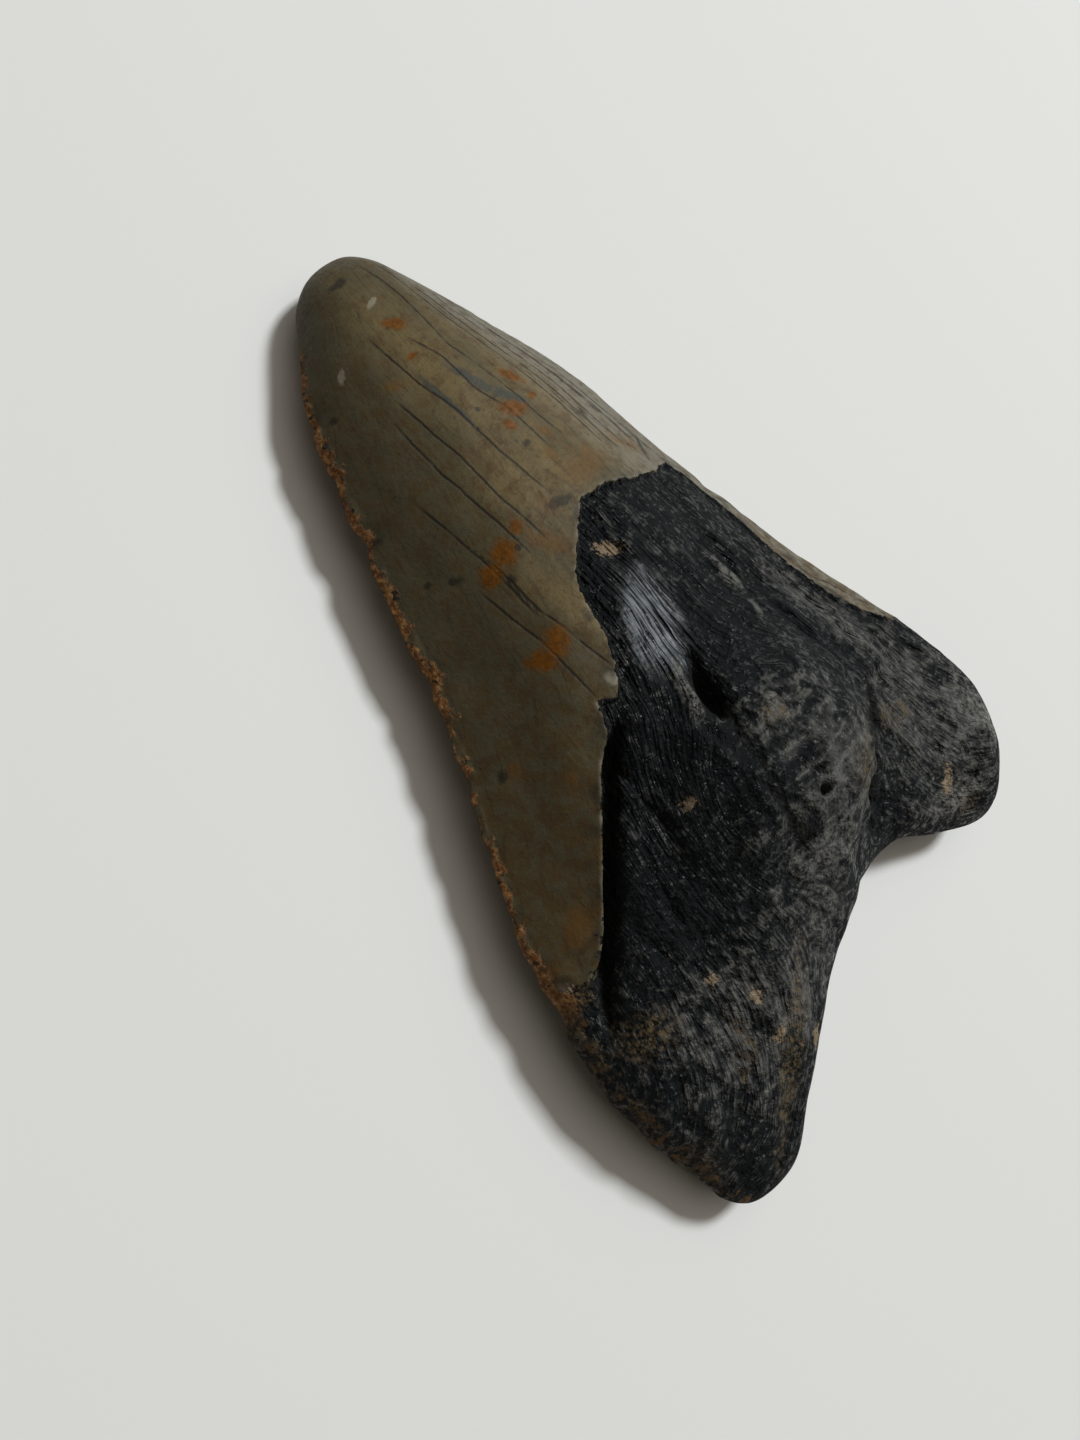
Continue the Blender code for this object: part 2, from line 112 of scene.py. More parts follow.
# Chips: side, down, half length, depth
CHIPS = [(-1, 17.6, 1.6, 0.7), (-1, 25.8, 1.1, 0.4), (-1, 35.0, 1.7, 0.8), (-1, 55.2, 1.4, 0.5),
         (-1, 68.9, 1.3, 0.6), (-1, 99.6, 2.4, 0.8), (1, 58.5, 1.6, 0.4)]
CHIP_REACH = 0.16
LUMP_SIZES = [(17.0, 0.35, 11), (8.0, 0.22, 12), (4.6, 0.14, 13)]
LUMP_WAVES = 9
LINGUAL_SEED = 0
LABIAL_SEED = 50
ENAMEL_LUMPS = 0.3
ROOT_LUMPS_FROM = 4.0
LABIAL_LUMPS = 0.6
RELIEF_WHOLE = 0.45

# Small relief: the size of its lumps, height and seed; ridges have a width and a length instead of a size
ROOT_GRAIN = [(3.6, 0.2, 21), (1.7, 0.14, 22)]
ROOT_RIDGES = [(2.8, 13.0, 0.24, 23), (1.3, 8.0, 0.14, 24)]
POLISHED = (-6.0, 67.8, 5.2, 9.0)
POLISHED_TURN = 25.0
POLISHED_ROUNDNESS = 1.5
POLISHED_GRAIN = 0.35  # share of the grain's height that the polished root keeps
SWELL = (-10.6, 67.4, 4.6, 9.0)
SWELL_HEIGHT = 1.8
PITTED = (-6.0, 55.0, 6.0, 5.0)
# The painted shade in a furrow or crease grows with its depth
FURROW_SHADE = 0.9  # of a furrow or crease that is 1 mm deep
FURROWS = [([(-5.0, 74.6), (-6.8, 79.0), (-8.4, 83.0)], 1.3, 0.7),
           ([(-11.4, 81.5), (-11.7, 84.2), (-11.3, 86.6)], 0.7, 0.45),
           ([(-21.7, 75.1), (-22.3, 81.5), (-22.6, 85.7), (-22.5, 89.6)], 0.8, 0.45),
           ([(-5.7, 86.1), (-7.7, 88.9)], 0.7, 0.45), ([(-11.9, 91.1), (-11.8, 94.5)], 0.8, 0.5),
           ([(0.7, 87.3), (3.5, 87.5)], 0.5, 0.5),
           ([(10.7, 63.6), (13.5, 76.6), (15.9, 91.1), (15.8, 97.7)], 0.5, 0.5),
           ([(21.4, 66.5), (22.4, 78.6), (22.5, 90.3), (21.0, 99.4)], 0.6, 0.45),
           ([(24.7, 77.7), (28.9, 85.8), (30.7, 94.7), (33.3, 99.7)], 0.6, 0.5),
           ([(26.2, 83.0), (27.2, 90.3), (27.7, 98.0)], 0.4, 0.45),
           ([(13.0, 64.0), (12.6, 70.0), (11.4, 74.4)], 0.6, 0.5)]
FLAKE_ROUNDNESS = 1.2
# Flakes and knobs: across, down, half sizes, height
FLAKES = [(10.2, 69.6, 1.2, 3.4, 0.6), (9.0, 76.2, 0.9, 1.6, 0.5), (17.0, 72.0, 0.9, 4.0, 0.4),
          (-12.4, 86.0, 1.2, 3.0, 0.3), (15.6, 100.2, 1.4, 1.4, 0.5), (20.6, 102.2, 1.3, 1.3, 0.5),
          (5.0, 101.0, 1.6, 3.4, 0.4), (-5.6, 84.6, 0.9, 1.3, 0.5), (-2.4, 85.0, 1.2, 0.9, 0.5),
          (-5.0, 88.6, 0.9, 1.2, 0.4), (7.6, 99.4, 1.1, 1.0, 0.6), (3.6, 103.8, 0.9, 1.2, 0.5),
          (10.8, 104.2, 0.9, 0.9, 0.5)]
FIBRES_PART = 0.8  # share of the boss's half width that the fibres run round
FIBRES_CROWD = 1.3
FIBRES_SLANT = 0.8  # of the fibres that turn outwards
FIBRES_TURN_FROM = 12.0  # how far from the lobes' ends the fibres turn outwards
EDGE_NIBBLES = [(2.6, 0.22, 31), (1.2, 0.14, 32)]
NIBBLES_START = (4.0, 12.0)
NIBBLE_REACH = 0.035
RIGHT_NIBBLES = 0.4  # share of the left edge's wear that the right edge has
CRUST_WIDTH = [(0.0, 0.3), (10.0, 0.6), (14.0, 0.8), (22.0, 1.2), (45.0, 1.2), (62.0, 1.2),
               (75.0, 0.8), (92.0, 0.9), (100.0, 2.4), (112.0, 1.6), (140.0, 2.4)]
CRUST_HEIGHT = 0.18
CRUST_GRAIN = (1.1, 41)  # size, seed
CRUST_SWELLS = (8.0, 16.0)
CRUST_SINKS = (96.0, 104.0)
CRUST_RISE = 0.4
CRUST_FALLS_FROM = 0.5  # share of the crust's width
TIP_WIDTH = 8.0
WIDTH_GROWS = 0.62  # for each mm down, roughly

# Net of the surface
LINES_DOWN = 191
LINES_ACROSS = 401
EDGE_GATHER = 0.6
END_SHARE = 0.25
TIP_SHARE = 0.08
FORAMEN_SHARES = (0.032, 0.83)
FORAMEN_GATHER = 0.6
FORAMEN_GATHER_REACH = (0.16, 0.07)
SNAP_REACH = 0.5  # in cells of the net

# Cracks of the enamel, from left to right, each from the tip's end to the root's
CRACKS = [
    [(-20.3, 50.5), (-19.1, 60.7), (-18.8, 70.9)],
    [(-18.7, 36.3), (-17.6, 47), (-17.3, 57.7)],
    [(-17.1, 47.8), (-16.7, 57.2), (-15.7, 62.7), (-14.4, 69.6)],
    [(-14.1, 25.3), (-14, 34.7), (-13.3, 42.2), (-12.6, 50.8)],
    [(-12.1, 23.2), (-10.8, 34.1), (-10.6, 42.8), (-9.6, 50.5)],
    [(-8.8, 14.2), (-8.1, 23.2), (-6.8, 29.4), (-6.2, 37.2), (-4.9, 45.4)],
    [(-4.4, 17), (-2.8, 21.7), (-2.5, 27.9), (-0.3, 34.2), (0.4, 41.3)],
    [(-1.2, 2.6), (-0.3, 11.1), (-0.4, 20.8), (2.2, 31.8), (3.6, 40)],
    [(1.4, 4.5), (2.8, 15.2), (5, 23.7), (7.6, 33), (9.4, 44)],
    [(5.4, 10.9), (7.8, 21.3), (11.2, 33.7), (13.6, 46)],
    [(3.2, 9), (5.2, 19), (9.2, 33), (11.6, 47)],
    [(9.6, 20), (13.4, 33), (16.6, 46)],
    [(8.2, 14), (11.6, 26), (15.2, 38), (17.6, 49)],
    [(12.6, 24), (16.4, 38), (19.6, 50)],
]
CRACK_WANDER = (2.5, 0.08, 51)  # size, width, seed
CRACK_WANDER_ACROSS = 0.6  # its change across, against that down
CRACK_STARTS = (-1.0, 2.0)
CRACK_ENDS = (-3.0, 1.0)

# Stains and marks: across, down, half length, half width, and the length's turn from across towards down
STAINS = {
    # The first grey patch, on the boss, is partly painted light: grey on the boss's lit face, ending at the
    # crease on its shaded left side
    "grey_root": [
        (-0.5, 96.5, 10.5, 10, 90), (22, 84, 14, 4, 75), (25, 107, 15, 12, 60),
        (-17, 117, 5.5, 16, 62), (-30, 116, 9, 12, 40), (-8, 108, 6, 8, 0)],
    "orange": [
        (-4.5, 14.1, 1.5, 0.9, 40), (-6, 19.4, 0.9, 0.4, 0), (4, 29.2, 2, 0.8, 50),
        (4.5, 33.1, 1.1, 0.5, -10), (0.2, 33.3, 2.1, 1.1, 30), (-2.2, 35, 1, 0.8, 40),
        (-11.7, 46.6, 0.9, 1.1, 40), (-14.9, 48.2, 1.7, 1.5, -50), (-18, 49.5, 1.6, 1.4, -40),
        (-17.6, 61.6, 1.9, 1.6, -50), (-20.6, 62.4, 1.8, 1.3, 40)],
    "tan_enamel": [
        (-45.2, 95.4, 1.8, 1.5, 0), (2, 45.6, 4, 1.8, 0), (-9.4, 51, 3.4, 1.4, 60),
        (15.4, 46.4, 1.6, 1.2, 60), (4.6, 44.8, 2.4, 1.4, 40), (13.1, 45.2, 2, 0.9, 60),
        (1.5, 38, 1.6, 0.8, 60), (-0.5, 41.5, 1.2, 0.8, 90), (-31.3, 71.6, 1, 1.4, 40),
        (-27.2, 76.7, 0.7, 0.8, 0), (-10.6, 21.5, 1.6, 0.7, 30), (-6.2, 47, 1.6, 0.9, 60),
        (-38.5, 92, 1.6, 3.2, 60)],
    "dark_mark": [
        (-5.9, 4.5, 1.4, 0.6, -5), (-2.2, 38.4, 0.6, 0.5, 0), (-21.5, 46.9, 0.8, 0.5, 40),
        (-32.9, 71, 0.6, 0.9, 40), (-6.4, 33, 0.35, 0.35, 0), (-24, 45, 0.4, 0.5, 0),
        (-4.7, 47.5, 2, 0.8, 10), (-16.6, 51.6, 0.5, 0.7, 0), (-18.8, 19.3, 0.6, 0.5, 0),
        (-25.2, 35.3, 1.2, 1, 40), (-13.3, 48.9, 0.5, 0.4, 0), (-4.4, 30.7, 0.4, 0.4, 0)],
    "blue_streak": [
        (-1.6, 27.2, 4.4, 0.7, 68), (1.2, 31.6, 2.8, 0.9, 50), (-6.9, 27, 6, 0.4, 84)],
    "pale_mark": [
        (-4.6, 9.8, 1.2, 0.4, -25), (-14.6, 15.6, 1, 0.45, -50), (-15.7, 69.8, 0.8, 1, 0)],
    "pale_enamel": [
        (-7, 41, 7, 4, 90), (-12.5, 60, 8.5, 2.6, 76), (-2, 42.5, 7, 3.6, 90),
        (-5, 22, 12, 4, 90), (8, 34, 16, 5, 72)],
    "cream_root": [
        (-3.5, 56.3, 1.7, 1, 40), (-44.4, 97.2, 1.1, 1, 0), (-30.2, 108.8, 0.9, 0.7, 0),
        (-26.6, 114.9, 0.7, 1.2, 0), (-27, 121.4, 0.8, 1.3, 40), (-19.6, 88.3, 0.8, 0.7, 0),
        (20.3, 115.4, 0.8, 2, 30), (-22, 127, 0.7, 1.3, 40)],
    "tan_root": [
        (4, 100.8, 2.2, 3.4, 60), (15.9, 100, 1.3, 1.3, 0), (20.9, 102.2, 1.4, 1.2, 0),
        (-3, 86.2, 1.8, 1.4, 0), (16.6, 100.6, 3.2, 1.8, 40), (-41, 108.6, 3.6, 2.6, 20),
        (-46.5, 129.6, 2.6, 4.4, 20), (-31, 118, 2.6, 0.8, 90), (-33, 121, 0.9, 3, 40),
        (-27, 125.4, 13, 1.5, 132), (-44.3, 98.4, 2.2, 2, 20), (-46.8, 104, 0.9, 5, 0),
        (-47.4, 117, 0.9, 4, 0), (22, 121, 2.4, 1.2, 20)],
    "pale_root": [
        (10.2, 69.6, 3.6, 1.1, 92), (9.2, 76.2, 1.6, 0.7, 120), (-9.8, 77.4, 4, 0.9, 116),
        (33.4, 113, 3, 6, -20), (20.4, 118.8, 5.5, 2, 10), (-2.4, 85, 1.4, 0.8, 0)],
    "dark_root": [
        (3, 75, 7.5, 6, 0), (10, 58, 9, 3.5, 70), (-15, 84, 9, 4, 60),
        (-9, 60.5, 2.6, 4.4, 0), (-30, 98, 11, 4.5, 60), (15, 82, 9, 2.6, 75)],
}

# Colours
SPECULAR = 0.2  # a weaker mirror than the shader's own
ENAMEL_DARK = (0.072, 0.063, 0.034, 1.0)
ENAMEL_BROWN = (0.072, 0.044, 0.016, 1.0)
ENAMEL_PALE = (0.128, 0.096, 0.04, 1.0)
# Pale grey of the right flank: partly its own paler tone, partly painted light where it faces the window
FLANK_LIT_GREY = (0.18, 0.172, 0.138, 1.0)
ENAMEL_RIM = (0.27, 0.255, 0.2, 1.0)
CRACK_DARK = (0.014, 0.014, 0.011, 1.0)
STREAK_BLUE = (0.046, 0.052, 0.044, 1.0)
ORANGE_STAIN = (0.145, 0.051, 0.001, 1.0)
TAN_STAIN = (0.125, 0.062, 0.012, 1.0)
ORANGE_DEEP = (0.08, 0.031, 0.001, 1.0)
CRUST_SAND = (0.3, 0.16, 0.06, 1.0)
CRUST_RUST = (0.13, 0.05, 0.012, 1.0)
ROOT_BLACK = (0.0022, 0.004, 0.0052, 1.0)
ROOT_GREY = (0.064, 0.066, 0.064, 1.0)
ROOT_PALE = (0.17, 0.17, 0.155, 1.0)
ROOT_TAN = (0.088, 0.066, 0.034, 1.0)
# Mostly a painted highlight of the window on the polished root, partly a pale bluish patina
PAINTED_SHEEN_BLUE = (0.2, 0.228, 0.255, 1.0)
# Painted shade, nearly black, in the trench, the gouge, the crevice, the creases and the furrows
HOLLOW_SHADE = (0.005, 0.006, 0.006, 1.0)
ROOT_CREAM = (0.25, 0.19, 0.12, 1.0)
FLOOR_COLOUR = (0.768, 0.795, 0.79, 1.0)
FLOOR_ROUGHNESS = 0.85

# Patterns of the material: lumps for each mm, detail and roughness
FINE = (1.3, 6.0, 0.65)
BORDER_TEAR = (0.7, 5.0, 0.65)
RIM_PATCHES = (0.4, 4.0)
DIRT_PATCHES = (0.35, 4.0)
ENAMEL_CLOUDS = (0.12, 6.0, 0.6)
BROWN_CLOUDS = (0.5, 5.0, 0.6)
ENAMEL_STREAKS = (1.0, 5.0)
STAIN_TEAR = (0.8, 6.0, 0.65)
CRACK_JITTER = (1.4, 4.0)
CRACK_DEPTH = (0.25, 3.0)
CRACK_BEND = (0.15, 3.0)
CRACK_PATCHES = (0.2, 4.0)
CRUST_TEAR = (0.55, 5.0, 0.65)
CRUST_BLOTCHES = (1.2, 4.0, 0.6)
CRUST_GAPS = (0.11, 3.0)
CRUST_HOLES = (0.8, 3.0)
STRANDS = (1.0, 2.0, 0.5)
ROOT_GRAINS = (0.62, 3.0, 0.55)
ROOT_CLOUDS = (0.16, 5.0, 0.65)
ROOT_TEAR = (0.5, 6.0, 0.65)
CREAM_TEAR = (1.4, 5.0, 0.7)
HOLLOW_TEAR = (1.1, 3.0)
GLINTS = (1.0, 1.0)

# How often strands, streaks and fine cracks come across and down
STRANDS_STRETCH = (0.75, 0.06, 1.0)
FINE_STRANDS_STRETCH = (1.6, 0.13, 1.0)
STREAKS_STRETCH = (22.0, 0.16)  # across the tooth's half width, and for each mm down
FINE_CRACKS_STRETCH = (9.0, 0.055)

# Where something comes in: down from the tip, or across with 0 in the middle and 1 at the right edge
ENAMEL_DARKENS = (58.0, 84.0)
ENAMEL_BROWNS = (50.0, 80.0)
RIGHT_FLANK = (0.25, 0.75)
BORDER_TORN = (90.0, 96.0)
CRUST_STARTS = (6.0, 11.0)
CRUST_ON_ROOT = (98.0, 104.0)
FIBRES_FADE = (74.0, 100.0)
UPPER_ROOT = (74.0, 66.0)
BORDER_REACH = (6.0, 2.0)  # from the enamel's border

# Photograph: the camera leans from straight above, and turns round the tooth
PHOTO_TURN = 40.0  # of the tooth in the picture, to the left
LENS = 26.0
SENSOR = 34.667
AIM = (-17.22, 0.65, 8.0)
DISTANCE = 150.0
CAMERA_LEAN = 20.0
CAMERA_BEARING = -150.0
CLIP_START = 0.01
KEY_BEARING = 43.0  # of the window, from the photo's right to its top
KEY_HEIGHT = 49.0
KEY_DISTANCE = 3000.0
KEY_SIZE = 520.0
KEY_POWER = 77.6
KEY_COLOUR = (0.985, 0.995, 1.0)
SOFT_HEIGHT = 62.0
SOFT_SIZE = 4000.0
SOFT_POWER = 33.6
SOFT_COLOUR = (1.0, 0.9, 0.8)
WORLD_LIGHT = 0.06
WORLD_COLOUR = (1.0, 0.82, 0.64, 1.0)
FLOOR_HALF = 3.0


def smooth_step(x, low, high):
    t = np.clip((x - low) / (high - low), 0.0, 1.0)
    return t * t * (3.0 - 2.0 * t)


def hermite(t, start, end, start_slope, end_slope):
    return ((2 * t**3 - 3 * t**2 + 1) * start + (t**3 - 2 * t**2 + t) * start_slope
            + (3 * t**2 - 2 * t**3) * end + (t**3 - t**2) * end_slope)


def through(stations, x):
    """A smooth curve through (place, value) stations."""
    places, values = np.array(stations).T
    slopes = np.gradient(values, places)
    i = np.clip(np.searchsorted(places, x) - 1, 0, len(places) - 2)
    gap = places[i + 1] - places[i]
    t = (x - places[i]) / gap
    return hermite(t, values[i], values[i + 1], slopes[i] * gap, slopes[i + 1] * gap)


def rounded_stretches(knots, steps=40):
    """The stretches of a smooth closed curve, one from each knot to the next."""
    points = np.array(knots)
    count = len(points)
    t = np.linspace(0.0, 1.0, steps, endpoint=False)[:, None]
    stretches = []
    for i in range(count):
        before, start, end, after = (points[(i + k) % count] for k in (-1, 0, 1, 2))
        gap = np.linalg.norm(end - start)
        gap_before = np.linalg.norm(start - before)
        gap_after = np.linalg.norm(after - end)
        slope_in = (start - before) / gap_before * gap + (end - start) / gap * gap_before
        slope_out = (end - start) / gap * gap_after + (after - end) / gap_after * gap
        slope_in *= gap / (gap_before + gap)
        slope_out *= gap / (gap + gap_after)
        stretches.append(hermite(t, start, end, slope_in, slope_out))
    return stretches


def outline_sides():
    """The outline's four sides: tip and base from left to right, edges from tip to root."""
    knots = TIP_KNOTS + RIGHT_KNOTS + [RIGHT_LOBE_KNOT] + BASE_KNOTS + [LEFT_LOBE_KNOT] + LEFT_KNOTS
    stretches = rounded_stretches(knots)
    tip_end = len(TIP_KNOTS) - 1
    right_end = tip_end + len(RIGHT_KNOTS) + 1
    base_end = right_end + len(BASE_KNOTS) + 1

    def side(first, last):
        return np.vstack(stretches[first:last] + [np.array([knots[last % len(knots)]])])

    tip = side(0, tip_end)
    right = side(tip_end, right_end)
    base = side(right_end, base_end)[::-1]
    left = side(base_end, len(knots))[::-1]
    return tip, right, base, left


def along(curve, share):
    """Points at shares of a curve's length."""
    steps = np.linalg.norm(np.diff(curve, axis=0), axis=1)
    length = np.concatenate([[0.0], np.cumsum(steps)])
    return np.stack([np.interp(share * length[-1], length, curve[:, k]) for k in range(3)], axis=-1)


def edge_surface(u, v, worn=True):
    """The net between the four sides, where u runs -1 to 1 across and v runs 0 to 1 down."""
    tip, right, base, left = outline_sides()
    s = (u + 1.0) / 2.0
    ends = (1.0 - v)[..., None] * along(tip, s) + v[..., None] * along(base, s)
    edges = (1.0 - s)[..., None] * along(left, v) + s[..., None] * along(right, v)
    corners = ((1.0 - s) * (1.0 - v))[..., None] * tip[0] + (s * (1.0 - v))[..., None] * tip[-1]
    corners += ((1.0 - s) * v)[..., None] * base[0] + (s * v)[..., None] * base[-1]
    net = ends + edges - corners
    shift = chips(u, net[..., 1])
    if worn:
        shift += nibbles(u, net[..., 1])
    return net[..., 0] + shift, net[..., 1], net[..., 2]


def chips(u, down):
    """Inward shift of the cutting edges where they are chipped."""
    shift = np.zeros_like(u)
    for side, place, half, depth in CHIPS:
        near_edge = np.exp(-((u - side) / CHIP_REACH) ** 2)
        shift -= side * depth * near_edge * np.exp(-((down - place) / half) ** 2)
    return shift


def rough(x, y, size, seed):
    """Smooth uneven noise between -1 and 1 with lumps of a size."""
    x, y = x / size + 500.0, y / size + 500.0
    column, row = np.floor(x).astype(int), np.floor(y).astype(int)
    values = np.random.default_rng(seed).uniform(-1.0, 1.0, (256, 256))
    s, t = smooth_step(x - column, 0.0, 1.0), smooth_step(y - row, 0.0, 1.0)
    corner = [[values[(row + i) % 256, (column + j) % 256] for j in (0, 1)] for i in (0, 1)]
    above = corner[0][0] * (1 - s) + corner[0][1] * s
    below = corner[1][0] * (1 - s) + corner[1][1] * s
    return above * (1 - t) + below * t


def nibbles(u, down):
    """Small wear of both cutting edges."""
    worn = sum(height * rough(down, u * 0.0, size, seed) for size, height, seed in EDGE_NIBBLES)
    crown = smooth_step(down, *NIBBLES_START)
    left = np.exp(-((u + 1.0) / NIBBLE_REACH) ** 2)
    right = np.exp(-((u - 1.0) / NIBBLE_REACH) ** 2)
    return crown * worn * (left + RIGHT_NIBBLES * right)


def mound(across, down, place, turn=0.0, roundness=1.0):
    """1 at a place, falling away over its half sizes."""
    c, s = np.cos(np.radians(turn)), np.sin(np.radians(turn))
    x = (across - place[0]) * c + (down - place[1]) * s
    y = (down - place[1]) * c - (across - place[0]) * s
    return np.exp(-((x / place[2]) ** 2 + (y / place[3]) ** 2) ** roundness)


def distance_to_line(across, down, line):
    """Distance to an open line, and the side: positive on the left of its run."""
    nearest = np.full(across.shape, np.inf)
    side = np.ones(across.shape)
    for (x0, y0), (x1, y1) in zip(line[:-1], line[1:]):
        dx, dy = x1 - x0, y1 - y0
        t = np.clip(((across - x0) * dx + (down - y0) * dy) / (dx * dx + dy * dy), 0.0, 1.0)
        ex, ey = across - x0 - t * dx, down - y0 - t * dy
        gap = np.hypot(ex, ey)
        closer = gap < nearest
        nearest = np.where(closer, gap, nearest)
        side = np.where(closer, np.sign(dx * ey - dy * ex), side)
    return nearest * side


def groove(across, down, line, half_width):
    """1 on a line, falling away over a half width."""
    return np.exp(-(distance_to_line(across, down, line) / half_width) ** 2)


def inside_of(across, down, polygon):
    """True for points inside a closed polygon, by counting the sides crossed on the way out."""
    inside = np.zeros(across.shape, dtype=bool)
    for (x0, y0), (x1, y1) in zip(polygon, polygon[1:] + polygon[:1]):
        if y0 == y1:
            continue
        meets = (y0 > down) != (y1 > down)
        inside ^= meets & (across < x0 + (down - y0) * (x1 - x0) / (y1 - y0))
    return inside


def past_margin(across, down):
    """Distance from the enamel's lower border: above 0 on the root, below 0 on the enamel."""
    gap = np.abs(distance_to_line(across, down, MARGIN))
    root = inside_of(across, down, MARGIN + [(MARGIN[-1][0], FAR), (MARGIN[0][0], FAR)])
    return np.where(root, gap, -gap)


def past_arch(across, down):
    """The same for the enamel of the labial face."""
    return down - ARCH_DOWN - ARCH_BEND * (across - ARCH_ACROSS) ** 2


def lumps(across, down, face):
    """Gentle unevenness made of a few crossing waves of each size."""
    total = np.zeros_like(across)
    for size, height, seed in LUMP_SIZES:
        waves = np.random.default_rng(seed + face)
        angles = waves.uniform(0, np.pi, LUMP_WAVES)
        phases = waves.uniform(0, 2 * np.pi, LUMP_WAVES)
        for angle, phase in zip(angles, phases):
            run = across * np.cos(angle) + down * np.sin(angle)
            total += height / np.sqrt(LUMP_WAVES) * np.cos(2 * np.pi * run / size + phase)
    return total


def arched(x, fullness):
    """1 at 0, bending down to 0 at 1."""
    return np.sqrt(np.clip(1.0 - x ** fullness, 0.0, 1.0))


def base_arch(v):
    """1 down to the root's base, bending down to 0 at its end."""
    return arched(np.clip((v - BASE_FROM) / (1.0 - BASE_FROM), 0.0, 1.0), BASE_FULLNESS)


def lingual_section(u, v):
    """1 on the crest and 0 on the outline: a lens at the crown, a rounded slab at the root."""
    root = smooth_step(v, ROOT_STARTS, ROOT_WHOLE)
    lens = 1.0 - np.abs(u) ** CROWN_FULLNESS
    slab = arched(np.abs(u), ROOT_FULLNESS)
    tip = arched(1.0 - np.clip(v / TIP_ROUND, 0.0, 1.0), 2)
    return (lens * (1.0 - root) + slab * root) * tip * base_arch(v)


def enamel_relief(across, down, gap):
    """The step from the enamel down to the root, and the trench beside it."""
    step = ENAMEL_STEP * smooth_step(gap, 0.0, STEP_WIDTH) * np.exp(-np.clip(gap, 0.0, None) / STEP_REACH)
    trench = TRENCH_DEPTH * trench_share(across, down) * smooth_step(gap, *ENAMEL_WALL)
    return -step * smooth_step(across, *STEP_FADES) - trench


def trench_share(across, down):
    """1 on the trench's middle line."""
    beside = groove(across, down, TRENCH, TRENCH_HALF_WIDTH)
    return beside * smooth_step(down, *TRENCH_STARTS) * (1.0 - smooth_step(down, *TRENCH_ENDS))


def from_crevice(across, down):
    """Distance to the crevice's ragged line, with its side."""
    size, wander, seed = CREVICE_WANDER
    return distance_to_line(across, down, CREVICE) + wander * rough(across, down, size, seed)


def crevice_share(down):
    """1 where the crevice is fully open, 0 beyond its ends."""
    return smooth_step(down, *CREVICE_DEEPENS) * (1.0 - smooth_step(down, *CREVICE_FADES))


def root_relief(across, down):
    """The gouge with its rim, the lump at the left edge, the foramen, the creases and the crevice."""
    relief = GOUGE_RIM_HEIGHT * mound(across, down, GOUGE_RIM, GOUGE_TURN)
    relief += EDGE_LUMP_HEIGHT * mound(across, down, EDGE_LUMP)
    relief -= GOUGE_DEPTH * mound(across, down, GOUGE, GOUGE_TURN)
    from_foramen = np.hypot(across - FORAMEN[0], down - FORAMEN[1])
    relief -= FORAMEN_DEPTH * np.exp(-(from_foramen / FORAMEN_RADIUS) ** 4)
    for line, depth, half_width in CREASES:
        relief -= depth * groove(across, down, line, half_width)
    gap = from_crevice(across, down)
    is_open = crevice_share(down)
    relief -= CREVICE_DEPTH * is_open * np.exp(-(gap / CREVICE_HALF_WIDTH) ** 2)
    beyond = smooth_step(-gap, *CREVICE_STEP_RUN) * np.exp(-np.clip(-gap, 0.0, None) / CREVICE_REACH)
    return relief - CREVICE_STEP * is_open * beyond


def lingual_face(u, v):
    across, down, edge = edge_surface(u, v)
    section = lingual_section(u, v)
    boss = BOSS_HEIGHT * mound(across, down, BOSS, roundness=BOSS_ROUNDNESS)
    form = through(LINGUAL_CREST, v) + boss
    gap = past_margin(across, down)
    root = smooth_step(gap, 0.0, ROOT_LUMPS_FROM)
    relief = enamel_relief(across, down, gap) + root_relief(across, down)
    relief += (ENAMEL_LUMPS + (1.0 - ENAMEL_LUMPS) * root) * lumps(across, down, LINGUAL_SEED)
    relief += root * small_relief(across, down)
    inside = smooth_step(section, 0.0, RELIEF_WHOLE)
    return across, down, edge + section * form + inside * relief + crust_relief(u, across, down)


def hollow_shade_share(across, down):
    """Painted shade: 1 at the bottom of the gouge and the crevice, less in the creases and furrows, by
    their depth.
    """
    deep = mound(across, down, GOUGE, GOUGE_TURN)
    gap = from_crevice(across, down)
    gap /= np.where(gap < 0.0, CREVICE_SHADE_WIDTH, CREVICE_HALF_WIDTH)
    deep = np.maximum(deep, crevice_share(down) * np.exp(-gap ** 2))
    for line, depth, half_width in CREASES + FURROWS:
        dark = min(FURROW_SHADE * depth, 1.0)
        deep = np.maximum(deep, dark * groove(across, down, line, half_width))
    return deep


def small_relief(across, down):
    """Grain, furrows, flakes and fibre ridges of the root, and the swell beside its polished part."""
    polished = mound(across, down, POLISHED, POLISHED_TURN, POLISHED_ROUNDNESS)
    grain = sum(height * rough(across, down, size, seed) for size, height, seed in ROOT_GRAIN)
    grain = grain * (1.0 - (1.0 - POLISHED_GRAIN) * polished + mound(across, down, PITTED))
    for line, depth, half_width in FURROWS:
        grain -= depth * groove(across, down, line, half_width)
    for *flake, height in FLAKES:
        grain += height * mound(across, down, flake, roundness=FLAKE_ROUNDNESS)
    grain += SWELL_HEIGHT * mound(across, down, SWELL, POLISHED_TURN)
    beside, run = fibre_lines(across, down)
    ridges = sum(height * rough(beside / width, run / length, 1.0, seed)
                 for width, length, height, seed in ROOT_RIDGES)
    return grain + ridges


def from_left_edge(u, v, across):
    """Distance from the left edge, as seen from above."""
    return across - edge_surface(np.full_like(u, -1.0), v)[0]


def crust_width(down):
    places, widths = zip(*CRUST_WIDTH)
    return np.interp(down, places, widths)


